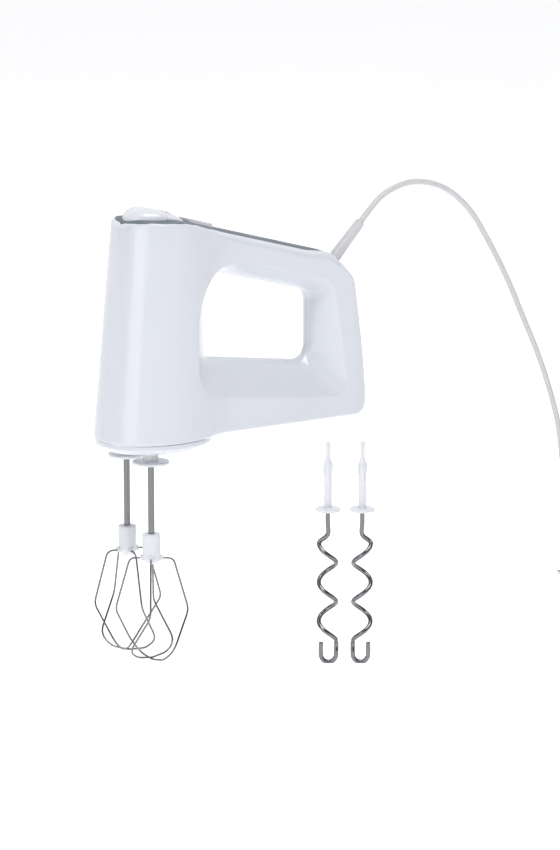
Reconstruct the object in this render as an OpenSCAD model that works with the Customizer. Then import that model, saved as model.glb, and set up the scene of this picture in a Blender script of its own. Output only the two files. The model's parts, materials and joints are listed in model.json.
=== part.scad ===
// Hand mixer with two wire whisks, two dough hooks and a mains lead.
// The working axes are the column's: +X runs back along the handle, -X is the front, +Z is up.
// Heights start at the underside of the base cover. in_hand() then moves every piece so that
// the origin is the middle of the hand grip.

/* [Body] */
// Height of the flat underside of the two shells
shell_base_z = 8; // [6:0.5:10]
// Half width of the column at its foot
column_half_w = 42.5; // [40:0.5:51]
// How far the column's front stands ahead of the column's axis, at the foot
column_front = 52; // [50:0.5:60]
// How far the column's widest section reaches back from its axis, at the foot
column_back = 44; // [40:0.5:52]
// How far the front of the column leans back from foot to top
column_lean = 18; // [8:0.5:20]
// How much narrower each side of the column is at the top
column_taper = 8; // [2:0.5:9]
// Squareness of the column's round section
column_round = 2.2; // [2:0.1:2.8]
// Height of the body's top over the column's axis
top_z = 185; // [182:0.5:200]
// Fall of the handle's top line for each millimetre back
handle_fall = 0.26; // [0.22:0.01:0.3]
// Half width of the rear limb of the body near its foot
limb_half_w = 26; // [22:0.5:30]
// Overall reach of the body behind the column's axis
body_back = 197; // [190:1:235]
// Wall of the moulded shells
shell_wall = 2.4; // [1.8:0.1:3]
// Thickness of the top panel let into the shells
panel_t = 2; // [1.5:0.1:2.5]
// Half width of the top panel along the handle
panel_half_w = 13; // [10:0.5:15]
// Rim of the shells left around the top panel
panel_rim = 3; // [2:0.5:4]
// Gap between the rear end of the panel and the back of the body
panel_end_gap = 38; // [34:1:50]

/* [Base cover] */
// Width of the chamfer round the base cover
base_chamfer = 5; // [3:0.5:7]
// Step from the shells in to the base cover
base_step = 1.2; // [0.5:0.1:2]
// Thickness of the base cover's floor
base_floor = 3; // [2.5:0.5:4]

/* [Grip opening] */
// Depth of the handle above the opening, at the centre plane
grip_depth = 36; // [32:0.5:38]
// Front of the opening at the centre plane, behind the column's axis
opening_front = 39; // [38:0.5:46]
// Depth of the rear pillar behind the opening, at its top
pillar_depth = 35; // [30:0.5:40]
// Height of the lower arm's crest at the front of the opening
arm_crest = 68; // [55:0.5:70]
// How far the opening widens towards the front, at the side faces
flare_front = 24; // [18:0.5:25]
// How far the opening widens upwards, at the side faces
flare_up = 21.6; // [14:0.2:22]
// How far the opening widens backwards, at the side faces
flare_back = 27; // [18:0.5:28]
// How far the opening widens downwards, at the side faces
flare_down = 26.5; // [18:0.5:28]

/* [Controls] */
// Height of the eject button above the panel
eject_button_h = 7.5; // [7:0.5:13]
// Half width of the eject button
eject_half_w = 21; // [18:0.5:23]
// Length of the eject button from its split line to its nose
eject_l = 26; // [24:0.5:28]
// Travel of the eject button
eject_travel = 6; // [4:0.5:6.5]
// Length of the speed control's cover
cover_l = 26; // [25:0.5:28]
// Height of the speed control's cover above the panel
cover_h = 3.6; // [3:0.2:7]
// Length of the speed slider's thumb rib
rib_l = 13; // [10:0.5:14]
// Travel of the speed slider
speed_travel = 8; // [5:0.5:8]
// Length of the turbo button along the handle
turbo_l = 24; // [20:0.5:26]
// Width of the turbo button
turbo_w = 17; // [14:0.5:19]
// Height of the turbo button above the panel
turbo_h = 2.6; // [2:0.1:4]
// Travel of the turbo button
turbo_travel = 2; // [1.5:0.1:2.5]

/* [Gear train] */
// Module of the spindle gears and of the pinion that drives them
spindle_module = 1; // [0.8:0.05:1]
// Teeth of each spindle gear
spindle_teeth = 36; // [32:2:36]
// Teeth of the small pinion of the compound gear
compound_small_teeth = 14; // [12:1:15]
// Module of the motor pinion and of the large compound wheel
motor_module = 0.8; // [0.7:0.05:0.8]
// Teeth of the large wheel of the compound gear
compound_large_teeth = 41; // [38:1:42]
// Teeth of the motor pinion
pinion_teeth = 12; // [11:1:14]
// Face width of every gear
gear_t = 6; // [5:0.5:7]
// Backlash of each gear mesh
backlash = 0.16; // [0.1:0.02:0.3]
// Outer radius of the spindles
spindle_r = 6.1; // [5.8:0.1:6.4]
// Radius of the steel axle of the compound gear
axle_r = 2; // [1.5:0.1:2.2]
// Distance of the spindles in front of the column's axis
spindle_x = 18; // [16:0.5:20]

/* [Motor] */
// Radius of the stator laminations
stator_r = 26; // [24:0.5:27]
// Height of the lamination stacks
stack_h = 28; // [22:1:32]
// Radius of the rotor laminations
rotor_r = 14; // [12:0.5:15]
// Air gap between the rotor and the stator
air_gap = 0.5; // [0.4:0.1:0.8]
// Radius of the motor shaft
shaft_r = 2.5; // [2:0.1:2.5]
// Radius of the commutator
commutator_r = 8; // [7:0.5:9]
// Radius of the cooling fan
fan_r = 19; // [16:0.5:20]
// Blades of the cooling fan
fan_blades = 9; // [7:1:11]

/* [Whisks] */
// Radius of the shank that enters a spindle, on whisks and dough hooks
shank_r = 3.2; // [3:0.05:3.3]
// Length of the shank above its disc
shank_l = 55; // [53:0.5:56]
// Radius of the splash disc of a whisk
whisk_disc_r = 14.8; // [12:0.1:15.4]
// Radius of the collar between a whisk's disc and its spindle
collar_r = 6; // [5:0.1:6.1]
// Radius of a whisk's steel rod
rod_r = 2.6; // [2:0.1:3]
// Length of a whisk's rod between disc and hub
rod_l = 57; // [45:1:70]
// Radius of a whisk's hub
hub_r = 7.35; // [6.5:0.05:8]
// Height of a whisk's hub above its arms
hub_h = 20; // [16:0.5:24]
// Radius of the whisk wire
wire_r = 0.78; // [0.6:0.02:0.9]
// Widest radius of a whisk's cage
cage_r = 29.3; // [24:0.1:30]
// Height of a whisk's cage
cage_h = 84; // [70:1:100]

/* [Dough hooks] */
// Radius of the disc of a dough hook
hook_disc_r = 10.2; // [8:0.1:12]
// Radius of the dough hook's rod
hook_rod_r = 1.9; // [1.5:0.1:2.2]
// Radius of the dough hook's helix, to the middle of the rod
helix_r = 7.1; // [6:0.1:9]
// Rise of the helix in one turn
helix_pitch = 32.7; // [28:0.1:36]
// Length of straight rod below a dough hook's disc
hook_neck = 20; // [10:0.5:24]
// Radius of the bend that ends a dough hook
hook_bend_r = 6.2; // [5:0.1:7]

/* [Cord and plug] */
// Diameter of the mains cord
cord_d = 4.8; // [4:0.1:6]
// Length of the strain relief outside the body
relief_l = 44; // [38:1:50]
// Radius of the strain relief where it leaves the body
relief_base_r = 5.2; // [4.5:0.1:6]
// Radius of the strain relief's tip
relief_tip_r = 3.9; // [3.3:0.1:4.5]
// Mean radius of the stored coil of cord
coil_r = 27; // [24:0.5:32]
// Width of the bundle of turns in the coil
coil_w = 10.4; // [9:0.2:15]
// Height of the bundle of turns in the coil
coil_h = 14.8; // [12:0.2:20]
// Radius of the mains plug's pins
plug_pin_r = 2; // [1.9:0.05:2.4]
// Free length of the mains plug's pins
plug_pin_l = 19; // [18:0.5:20]
// Distance between the mains plug's pins
plug_pin_gap = 18.6; // [17.5:0.1:19.5]

/* [Fits and fasteners] */
// Radial clearance of a shaft in its bush
running = 0.05; // [0.02:0.01:0.1]
// Gap between parts that slide past each other
sliding = 0.3; // [0.2:0.05:0.5]
// Radius of the self-tapping screws' thread
screw_r = 1.45; // [1.2:0.05:1.6]
// Radius of the self-tapping screws' heads
screw_head_r = 2.8; // [2.4:0.1:3.2]
// Length of the self-tapping screws under the head
screw_l = 14; // [10:1:16]
// Radius of the screw bosses inside the shells
boss_r = 4.4; // [4:0.1:5]

/* [Hidden] */
$fn = 48;

// Middle of the hand grip: the origin of the finished part.
grip_x = 92;
grip_z = 143;

// ---- side view of the body ----
// Each corner is [x, z, corner radius], counter-clockwise from the foot of the front.
panel_line = function (x) top_z + 0.6 - handle_fall * x;
nose_x = -column_front + column_lean;
back_top_x = body_back - 38.6;
back_mid_x = body_back - 17.4;
BODY_SIDE = [
  [-column_front, shell_base_z, 6],
  [body_back, shell_base_z, 14],
  [back_mid_x, panel_line(back_top_x) - 22.9, 15],
  [back_top_x, panel_line(back_top_x), 20],
  [3, top_z, 40],
  [nose_x + 10, top_z, 16],
  [nose_x, top_z - 5, 3],
  [-column_front + 1.2, 50, 60]
];

// The opening at the centre plane, and its wider edge on the side faces.
hole_top = function (x) panel_line(x) - grip_depth;
hole_back = body_back - 16 - pillar_depth;
HOLE_MID = [
  [opening_front + 1, arm_crest, 10],
  [hole_back - 1.5, arm_crest - 13.5, 12],
  [hole_back, hole_top(hole_back), 12],
  [opening_front, hole_top(opening_front), 14]
];
HOLE_RIM = [
  [opening_front - flare_front, arm_crest - flare_down, 24],
  [HOLE_MID[1][0] + flare_back, arm_crest - flare_down - 17, 12],
  [hole_back + 0.42 * flare_back, HOLE_MID[2][1] + 0.42 * flare_up, 14],
  [opening_front - flare_front + 2.5, HOLE_MID[3][1] + flare_up, 50]
];

// ---- helpers ----
function unit(v) = v / norm(v);
function lerp(a, b, t) = a + (b - a) * t;
function flat(lists) = [for (l = lists) each l];
function turn_back(a) = a > 180 ? a - 360 : a < -180 ? a + 360 : a;

// One corner of a convex outline, moved out by grow and rounded with an arc of n steps.
function corner_arc(a, p, b, grow, n) =
  let (u = unit([a[0] - p[0], a[1] - p[1]]))
  let (v = unit([b[0] - p[0], b[1] - p[1]]))
  let (half = acos(max(-1, min(1, u * v))) / 2)
  let (inward = unit(u + v))
  let (r = max(0.5, p[2] + grow))
  let (q = [p[0], p[1]] - inward * grow / sin(half))
  let (c = q + inward * r / sin(half))
  let (s = q + u * r / tan(half) - c)
  let (e = q + v * r / tan(half) - c)
  let (start = atan2(s[1], s[0]))
  let (sweep = turn_back(atan2(e[1], e[0]) - start))
  [for (i = [0:n]) c + r * [cos(start + sweep * i / n), sin(start + sweep * i / n)]];

function rounded_outline(corners, grow = 0, n = 5) =
  let (k = len(corners))
  flat([for (i = [0:k - 1])
    corner_arc(corners[(i + k - 1) % k], corners[i], corners[(i + 1) % k], grow, n)]);

// A closed solid through a list of rings, each with the same number of points.
module loft(rings) {
  n = len(rings[0]);
  m = len(rings);
  sides = [for (j = [0:m - 2]) for (i = [0:n - 1])
    let (a = j * n + i, b = j * n + (i + 1) % n, c = b + n, d = a + n)
    each [[a, c, b], [a, d, c]]];
  caps = [[for (i = [0:n - 1]) i], [for (i = [n - 1:-1:0]) (m - 1) * n + i]];
  polyhedron(points = flat(rings), faces = concat(sides, caps), convexity = 6);
}

// Directions along a path, and a normal carried along it without twist.
function path_dirs(p) =
  let (last = len(p) - 1)
  [for (i = [0:last]) unit(p[min(i + 1, last)] - p[max(i - 1, 0)])];
function carried(dirs, n0, i = 0) =
  i == len(dirs) ? [] :
  let (n = unit(n0 - dirs[i] * (n0 * dirs[i])))
  concat([n], carried(dirs, n, i + 1));

// A round tube of radius r along a path of points.
module tube(path, r, sides, first_normal) {
  dirs = path_dirs(path);
  normals = carried(dirs, first_normal);
  loft([for (i = [0:len(path) - 1])
    [for (k = [0:sides - 1])
      let (a = 360 * k / sides)
      path[i] + r * (cos(a) * normals[i] + sin(a) * cross(dirs[i], normals[i]))]]);
}

// A polyline whose inner corners are replaced with parabolic bends that start d away.
function bent(p, d, n = 4) =
  concat([p[0]],
    flat([for (i = [1:len(p) - 2])
      let (a = p[i] + unit(p[i - 1] - p[i]) * d[i - 1])
      let (b = p[i] + unit(p[i + 1] - p[i]) * d[i - 1])
      [for (k = [0:n]) let (t = k / n)
        (1 - t) * (1 - t) * a + 2 * t * (1 - t) * p[i] + t * t * b]]),
    [p[len(p) - 1]]);

function helix(r, pitch, turns, steps, start = 0, hand = 1) =
  [for (i = [0:steps])
    let (a = start + hand * 360 * turns * i / steps)
    [r * cos(a), r * sin(a), -pitch * turns * i / steps]];

module in_hand() translate([-grip_x, 0, -grip_z]) children();
module at_left() translate([-spindle_x, -spindle_y, 0]) children();
module at_right() translate([-spindle_x, spindle_y, 0]) children();

// ---- plan view of the body ----
// Section of the column at height z: [centre x, half length, half width].
column_h = top_z - shell_base_z;
function rise(z) = (z - shell_base_z) / column_h;
function column_at(z) =
  let (front = -column_front + column_lean * rise(z))
  let (back = column_back - 4 * rise(z))
  [(front + back) / 2, (back - front) / 2, column_half_w - column_taper * rise(z)];
limb_taper = 0.028;
function limb_half(z) = limb_half_w - limb_taper * (z - shell_base_z);

function superhalf(u) = u >= 1 ? 0 : pow(1 - pow(u, column_round), 1 / column_round);

// Half width of the body at x, at height z, brought in by inset.
blend_w = 16;
limb_nose = 22;
function body_half(x, z, inset) =
  let (c = column_at(z))
  let (u = abs(x - c[0]) / (c[1] - inset))
  let (round_w = (c[2] - inset) * superhalf(u))
  let (end = max(0, x - (body_back - limb_nose)) / (limb_nose - inset))
  let (limb_w = (limb_half(z) - inset) * sqrt(max(0, 1 - end * end * 0.72)))
  let (k = blend_w * max(0, min(1, (x - c[0]) / c[1])))
  let (blend = (round_w + limb_w + sqrt(pow(round_w - limb_w, 2) + k * k)) / 2)
  x <= c[0] ? round_w : max(round_w, limb_w, blend - k * k / (4 * limb_half_w));

// Stations crowd towards the front, where the section is roundest.
front_steps = 12;
rear_steps = 16;
function body_stations(z, inset) =
  let (c = column_at(z))
  let (last = body_back - inset)
  concat(
    [for (i = [0:front_steps]) c[0] - (c[1] - inset) * cos(90 * i / front_steps)],
    [for (i = [1:rear_steps]) lerp(c[0], last, i / rear_steps)]);
function body_ring(z, inset) =
  let (s = body_stations(z, inset))
  concat(
    [for (x = s) [x, -body_half(x, z, inset), z]],
    [for (i = [len(s) - 1:-1:1]) [s[i], body_half(s[i], z, inset), z]]);

module body_plan(inset) {
  loft([for (z = [-10, shell_base_z, 70, 130, top_z + 20]) body_ring(z, inset)]);
}

// Rotates an outline drawn in X and Z so that it stands, and spans the body's width.
module across(w) rotate([90, 0, 0]) linear_extrude(height = w, center = true) children();

module side_block(inset) across(4 * column_half_w) polygon(rounded_outline(BODY_SIDE, -inset));
module body_outer() {
  intersection() {
    body_plan(0);
    side_block(0);
  }
}

// The grip opening as a closed solid, made larger all round by grow.
flare_steps = [50, 40, 32, 25, 18, 10, 0, -10, -18, -25, -32, -40, -50];
function flare(s) = s < 1 ? s * s : 2 * s - 1;
module opening(grow) {
  mid = rounded_outline(HOLE_MID, grow);
  rim = rounded_outline(HOLE_RIM, grow);
  half = [for (p = rounded_outline(HOLE_RIM, 0)) body_half(p[0], p[1], 0)];
  loft([for (y = flare_steps)
    [for (i = [0:len(mid) - 1])
      let (p = lerp(mid[i], rim[i], flare(abs(y) / half[i])))
      [p[0], y, p[1]]]]);
}

module cavity() {
  difference() {
    intersection() {
      body_plan(shell_wall);
      side_block(shell_wall);
      translate([0, 0, -panel_t]) side_block(shell_wall);
    }
    opening(shell_wall);
  }
}

// ---- top panel ----
panel_z = top_z - 12;
panel_end = body_back - panel_end_gap;
module panel_plan(inset) {
  c = column_at(top_z);
  a = c[1] - panel_rim - inset;
  b = c[2] - panel_rim - inset;
  steps = 48;
  ring = [for (i = [0:steps - 1])
    let (t = 360 * i / steps)
    let (s = [sign(cos(t)) * pow(abs(cos(t)), 2 / column_round),
              sign(sin(t)) * pow(abs(sin(t)), 2 / column_round)])
    [c[0] - 4 + (a - 4) * s[0], b * s[1]]];
  w = panel_half_w - inset;
  polygon(ring);
  translate([0, -w]) square([panel_end - w, 2 * w]);
  translate([panel_end - w, 0]) circle(r = w);
}
module panel_band(inset) {
  intersection() {
    difference() {
      side_block(0);
      translate([0, 0, -panel_t]) side_block(0);
    }
    translate([0, 0, 100]) linear_extrude(height = 120) panel_plan(inset);
  }
}

// ---- screws that hold the shells ----
// Each place is [x, z]: foot and head of the column, lower arm, rear pillar foot and head.
SHELL_SCREWS = [[-38.5, 75], [50, 24], [104, 19], [body_back - 16, 17], [body_back - 26, 108]];
head_y = 9;
screw_head_h = 2.2;
module along_y(y0, y1, r) translate([0, y0, 0]) rotate([-90, 0, 0]) cylinder(r = r, h = y1 - y0);
module shell_bosses() {
  intersection() {
    body_outer();
    for (p = SHELL_SCREWS) translate([p[0], 0, p[1]]) along_y(-60, 60, boss_r);
  }
}
module shell_screw_holes() {
  for (p = SHELL_SCREWS) translate([p[0], 0, p[1]]) {
    along_y(head_y - screw_l - 1, head_y, screw_r);
    along_y(0, head_y, screw_r + sliding);
    along_y(head_y, 70, screw_head_r + sliding);
  }
}

// ---- cord exit ----
// The strain relief leaves the sloped rear shoulder along exit_angle.
exit_angle = 45.8;
exit_x = body_back - 27.2;
exit_z = 132;
relief_inner_l = 9;
relief_flange_r = relief_base_r + 1.8;
module at_exit() translate([exit_x, 0, exit_z]) rotate([0, 90 - exit_angle, 0]) children();
module exit_bore() {
  at_exit() translate([0, 0, -relief_inner_l]) cylinder(r = relief_base_r, h = 3 * relief_inner_l);
}

// ---- openings in the shells for the controls ----
split_x = -2;
button_gap = 0.5;
module half_oval(l, w, grow) {
  steps = 20;
  polygon([for (i = [0:steps])
    let (t = 90 + 180 * i / steps)
    [split_x - button_gap / 2 + grow - (l + 2 * grow) * -cos(t), (w + grow) * sin(t)]]);
}
module eject_hole(grow) {
  translate([0, 0, top_z - 30]) linear_extrude(height = 60)
    half_oval(eject_l, eject_half_w, grow);
}
cover_x = split_x + button_gap / 2;
cover_half_w = eject_half_w;
slot_w = 5;
slot_x = cover_x + 2.2;
slot_l = rib_l + speed_travel + 2 * sliding;
turbo_x = cover_x + cover_l + 1.2;
turbo_r = turbo_w / 2 - 0.5;
module turbo_outline(grow) {
  l = turbo_l + 2 * grow;
  w = turbo_w + 2 * grow;
  r = 3 + grow;
  hull() {
    for (x = [r, l - r]) for (y = [-1, 1])
      translate([turbo_x - grow + x, y * (w / 2 - r)]) circle(r = r, $fn = 24);
  }
}
module control_holes(grow) {
  eject_hole(grow);
  translate([slot_x - grow, -slot_w / 2 - grow, top_z - 40]) cube([slot_l + 2 * grow, slot_w + 2 * grow, 60]);
  translate([0, 0, top_z - 60]) linear_extrude(height = 80) turbo_outline(grow);
}

module shell_pair() {
  difference() {
    union() {
      difference() {
        body_outer();
        cavity();
      }
      shell_bosses();
    }
    opening(0);
    panel_band(0);
    control_holes(sliding);
    shell_screw_holes();
    exit_bore();
    column_inside_for_base();
  }
}
// The column's foot is open to the gearbox.
module column_inside_for_base() {
  translate([0, 0, -5]) linear_extrude(height = 5 + shell_base_z + shell_wall + 0.1)
    polygon(column_outline(shell_base_z, shell_wall + 2));
}
module left_housing() {
  color([0.90, 0.92, 0.96]) in_hand() difference() {
    shell_pair();
    translate([-300, 0, -100]) cube([800, 200, 500]);
  }
}
module right_housing() {
  color([0.87, 0.89, 0.94]) in_hand() difference() {
    shell_pair();
    translate([-300, -200, -100]) cube([800, 200, 500]);
  }
}

module top_panel() {
  color([0.52, 0.56, 0.62]) in_hand() difference() {
    panel_band(0);
    control_holes(sliding);
  }
}

// ---- base cover ----
function column_outline(z, inset, steps = 56) =
  let (c = column_at(z))
  [for (i = [0:steps - 1])
    let (t = 360 * i / steps)
    [c[0] + (c[1] - inset) * sign(cos(t)) * pow(abs(cos(t)), 2 / column_round),
     (c[2] - inset) * sign(sin(t)) * pow(abs(sin(t)), 2 / column_round)]];
function lifted(outline, z) = [for (p = outline) [p[0], p[1], z]];
socket_hole_r = spindle_r + 0.9;
module base_cover() {
  color([0.80, 0.83, 0.87]) in_hand() difference() {
    loft([
      lifted(column_outline(shell_base_z, base_step + base_chamfer + 3), 0),
      lifted(column_outline(shell_base_z, base_step + base_chamfer), 0.8),
      lifted(column_outline(shell_base_z, base_step), 4.5),
      lifted(column_outline(shell_base_z, base_step), shell_base_z)
    ]);
    translate([0, 0, base_floor]) linear_extrude(height = shell_base_z)
      polygon(column_outline(shell_base_z, base_step + base_chamfer + 3.5));
    at_left() translate([0, 0, -1]) cylinder(r = socket_hole_r, h = 20);
    at_right() translate([0, 0, -1]) cylinder(r = socket_hole_r, h = 20);
    for (p = BASE_SCREWS) translate([p[0], p[1], -1]) cylinder(r = screw_r + sliding, h = 20);
    for (p = BASE_SCREWS) translate([p[0], p[1], -1]) cylinder(r = screw_head_r + sliding, h = 1 + screw_head_h);
  }
}

// ---- gear train ----
spindle_y = spindle_module * spindle_teeth / 2;
spindle_gear_r = spindle_y;
small_r = spindle_module * compound_small_teeth / 2;
large_r = motor_module * compound_large_teeth / 2;
pinion_r = motor_module * pinion_teeth / 2;
// The compound gear stands straight behind the left spindle, and the motor shaft on the centre plane.
compound_x = -spindle_x + spindle_gear_r + small_r;
compound_y = -spindle_y;
motor_x = compound_x - sqrt(pow(large_r + pinion_r, 2) - spindle_y * spindle_y);

pressure_angle = 20;
function involute(a) = tan(a) * 180 / PI - a;
function gear_points(mod, teeth) =
  let (r = mod * teeth / 2, base = r * cos(pressure_angle))
  let (tip = r + 0.8 * mod, root = r - 1.1 * mod)
  let (half_pitch = 90 / teeth - backlash / (2 * r) * 90 / PI)
  let (first = max(base, root))
  let (radii = [for (i = [0:3]) lerp(first, tip, i / 3)])
  let (half = [for (q = radii)
    half_pitch + involute(pressure_angle) - involute(acos(min(1, base / q)))])
  flat([for (k = [0:teeth - 1])
    let (mid = 360 * k / teeth)
    concat(
      first > root + 0.05 ? [root * [cos(mid - half[0]), sin(mid - half[0])]] : [],
      [for (i = [0:3]) radii[i] * [cos(mid - half[i]), sin(mid - half[i])]],
      [for (i = [3:-1:0]) radii[i] * [cos(mid + half[i]), sin(mid + half[i])]],
      first > root + 0.05 ? [root * [cos(mid + half[0]), sin(mid + half[0])]] : [])]);
module gear(mod, teeth, t, phase) rotate([0, 0, phase]) linear_extrude(height = t)
  polygon(gear_points(mod, teeth));

// Phase of a wheel that meshes with another one lying in direction dir from it.
function mesh_phase(other_phase, other_teeth, teeth, dir) =
  let (line = dir + 180)
  dir - (other_phase - line) * other_teeth / teeth + 180 / teeth;
left_gear_phase = 90;
right_gear_phase = mesh_phase(left_gear_phase, spindle_teeth, spindle_teeth, -90);
small_phase = mesh_phase(left_gear_phase, spindle_teeth, compound_small_teeth, 180);
pinion_dir = atan2(compound_y, compound_x - motor_x);
pinion_phase = mesh_phase(small_phase, compound_large_teeth, pinion_teeth, pinion_dir);

// Heights of the gearbox, from the bottom plate up.
plate_t = 3;
plate_z = shell_base_z + 1;
gear_z = plate_z + plate_t + 2;
large_z = gear_z + gear_t + 2;
cover_plate_z = large_z + gear_t + 4;
spindle_low = -5;
spindle_top = cover_plate_z + plate_t + 2.5;
ring_t = 1.5;
bush_wall = 2;
bush_h = 5;

// ---- spindles ----
keyway_w = 2;
rib_r = 4.4;
module spindle() {
  difference() {
    translate([0, 0, spindle_low]) cylinder(r = spindle_r, h = spindle_top - spindle_low);
    translate([0, 0, spindle_low - 1]) cylinder(r = shank_r + running, h = 100);
    for (a = [0, 90]) rotate([0, 0, a])
      translate([-rib_r - sliding, -keyway_w / 2, spindle_low - 1])
        cube([2 * (rib_r + sliding), keyway_w, 100]);
  }
}
module spindle_gear(phase) {
  difference() {
    union() {
      translate([0, 0, gear_z]) gear(spindle_module, spindle_teeth, gear_t, phase);
      translate([0, 0, gear_z]) cylinder(r = spindle_r + 2, h = gear_t + 1);
    }
    translate([0, 0, gear_z - 1]) cylinder(r = spindle_r, h = gear_t + 4);
    for (a = [0:60:300]) rotate([0, 0, phase + a]) translate([12, 0, gear_z - 1])
      cylinder(r = 2.4, h = gear_t + 2);
  }
}
knob_r = 2.1;
neck_r = 1.7;
module detent_ring() {
  translate([0, 0, spindle_top]) difference() {
    cylinder(r = spindle_r - 0.6, h = ring_t);
    translate([0, 0, -1]) cylinder(r = knob_r + sliding, h = ring_t + 2);
  }
}
module left_spindle() color("gainsboro") in_hand() at_left() spindle();
module right_spindle() color("gainsboro") in_hand() at_right() spindle();
module left_spindle_gear() color("ivory") in_hand() at_left() spindle_gear(left_gear_phase);
module right_spindle_gear() color("ivory") in_hand() at_right() spindle_gear(right_gear_phase);
module left_detent_ring() color("silver") in_hand() at_left() detent_ring();
module right_detent_ring() color("silver") in_hand() at_right() detent_ring();

module at_compound() translate([compound_x, compound_y, 0]) children();
module compound_gear() {
  color("wheat") in_hand() at_compound() difference() {
    union() {
      translate([0, 0, gear_z]) gear(spindle_module, compound_small_teeth, gear_t + 2, small_phase);
      translate([0, 0, large_z]) gear(motor_module, compound_large_teeth, gear_t, small_phase);
    }
    translate([0, 0, gear_z - 1]) cylinder(r = axle_r + running, h = 40);
    for (a = [0:60:300]) rotate([0, 0, a]) translate([11.2, 0, large_z - 1])
      cylinder(r = 2.6, h = gear_t + 2);
  }
}
module compound_axle() {
  color("silver") in_hand() at_compound() translate([0, 0, plate_z])
    cylinder(r = axle_r, h = cover_plate_z + plate_t - plate_z);
}

// ---- gearbox plates ----
POSTS = [[-40.5, 0], [16, 26], [31, -6]];
post_r = 2.6;
module gearbox_plate(z) {
  difference() {
    translate([0, 0, z]) linear_extrude(height = plate_t) intersection() {
      polygon(column_outline(z + plate_t, shell_wall + 2.6));
      translate([-100, -100]) square([136, 200]);
    }
    at_left() translate([0, 0, z - 1]) cylinder(r = spindle_r + bush_wall, h = plate_t + 2);
    at_right() translate([0, 0, z - 1]) cylinder(r = spindle_r + bush_wall, h = plate_t + 2);
    at_compound() translate([0, 0, z - 1]) cylinder(r = axle_r, h = plate_t + 2);
    for (p = POSTS) translate([p[0], p[1], z - 1]) cylinder(r = screw_r, h = plate_t + 2);
  }
}
BASE_SCREWS = [[-34, 12], [-34, -12], [22, 18], [22, -18]];
module gearbox_base() {
  color("lightgray") in_hand() difference() {
    union() {
      gearbox_plate(plate_z);
      for (p = BASE_SCREWS) translate([p[0], p[1], base_floor]) cylinder(r = 3.4, h = plate_z - base_floor);
    }
    for (p = BASE_SCREWS) translate([p[0], p[1], base_floor - 1]) cylinder(r = screw_r, h = 30);
  }
}
module gearbox_cover() {
  color("lightgray") in_hand() difference() {
    gearbox_plate(cover_plate_z);
    translate([motor_x, 0, cover_plate_z - 1]) cylinder(r = shaft_r + 1.5, h = plate_t + 2);
  }
}
module gearbox_posts() {
  color("silver") in_hand() for (p = POSTS) translate([p[0], p[1], 0]) {
    translate([0, 0, plate_z + plate_t]) cylinder(r = post_r, h = cover_plate_z - plate_z - plate_t);
    translate([0, 0, cover_plate_z + plate_t]) cylinder(r = post_r, h = bracket_z - cover_plate_z - plate_t);
  }
}
module spindle_bushes() {
  color([0.72, 0.55, 0.32]) in_hand() for (y = [-spindle_y, spindle_y]) for (z = [plate_z, cover_plate_z])
    translate([-spindle_x, y, z + (plate_t - bush_h) / 2]) difference() {
      cylinder(r = spindle_r + bush_wall, h = bush_h);
      translate([0, 0, -1]) cylinder(r = spindle_r + running, h = bush_h + 2);
    }
}

// ---- motor ----
foot_t = 4;
disc_top = -7.5;
tip_z = disc_top + shank_l;
foot_z = tip_z + sliding;
bracket_z = foot_z + foot_t + 3;
bracket_t = 3;
bearing_r = 8;
bearing_h = 5;
bearing_low_z = bracket_z + 1;
fan_z = bearing_low_z + bearing_h + 2;
fan_h = 7;
stack_z = fan_z + fan_h + 8;
winding_h = 6;
commutator_z = stack_z + stack_h + winding_h + 1;
commutator_h = 12;
upper_z = commutator_z + commutator_h + 2;
shaft_low = large_z - 0.5;
module at_motor() translate([motor_x, 0, 0]) children();
// Long screws clamp the stator between the two brackets.
clamp_r = 22.6;
module motor_screw_places() for (s = [-1, 1]) translate([s * clamp_r, 0, 0]) children();

module motor_pinion() {
  color([0.72, 0.55, 0.32]) in_hand() at_motor() difference() {
    translate([0, 0, large_z]) gear(motor_module, pinion_teeth, gear_t, pinion_phase);
    translate([0, 0, large_z - 1]) cylinder(r = shaft_r, h = gear_t + 2);
  }
}
module motor_shaft() {
  color("silver") in_hand() at_motor() translate([0, 0, shaft_low])
    cylinder(r = shaft_r, h = upper_z + bearing_h + 2 - shaft_low);
}
module rotor_core() {
  slots = 12;
  color([0.45, 0.46, 0.48]) in_hand() at_motor() translate([0, 0, stack_z]) difference() {
    cylinder(r = rotor_r, h = stack_h);
    translate([0, 0, -1]) cylinder(r = shaft_r, h = stack_h + 2);
    for (k = [0:slots - 1]) rotate([0, 0, 360 * k / slots])
      translate([rotor_r - 4, -0.9, -1]) cube([5, 1.8, stack_h + 2]);
  }
}
module rotor_winding() {
  color([0.72, 0.38, 0.16]) in_hand() at_motor() for (z = [stack_z - winding_h, stack_z + stack_h])
    translate([0, 0, z]) difference() {
      cylinder(r = rotor_r - 2, h = winding_h);
      translate([0, 0, -1]) cylinder(r = shaft_r, h = winding_h + 2);
    }
}
module commutator() {
  bars = 24;
  color([0.80, 0.48, 0.25]) in_hand() at_motor() translate([0, 0, commutator_z]) difference() {
    cylinder(r = commutator_r, h = commutator_h);
    translate([0, 0, -1]) cylinder(r = shaft_r, h = commutator_h + 2);
    for (k = [0:bars - 1]) rotate([0, 0, 360 * k / bars])
      translate([commutator_r - 0.8, -0.2, -1]) cube([2, 0.4, commutator_h + 2]);
  }
}
module cooling_fan() {
  hub = 6;
  color([0.25, 0.27, 0.30]) in_hand() at_motor() translate([0, 0, fan_z]) difference() {
    union() {
      cylinder(r = hub, h = fan_h);
      cylinder(r = fan_r, h = 1.2);
      for (k = [0:fan_blades - 1]) rotate([0, 0, 360 * k / fan_blades])
        translate([hub - 1, -0.6, 0.5]) cube([fan_r - hub, 1.2, fan_h - 0.5]);
    }
    translate([0, 0, -1]) cylinder(r = shaft_r, h = fan_h + 2);
  }
}
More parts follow.
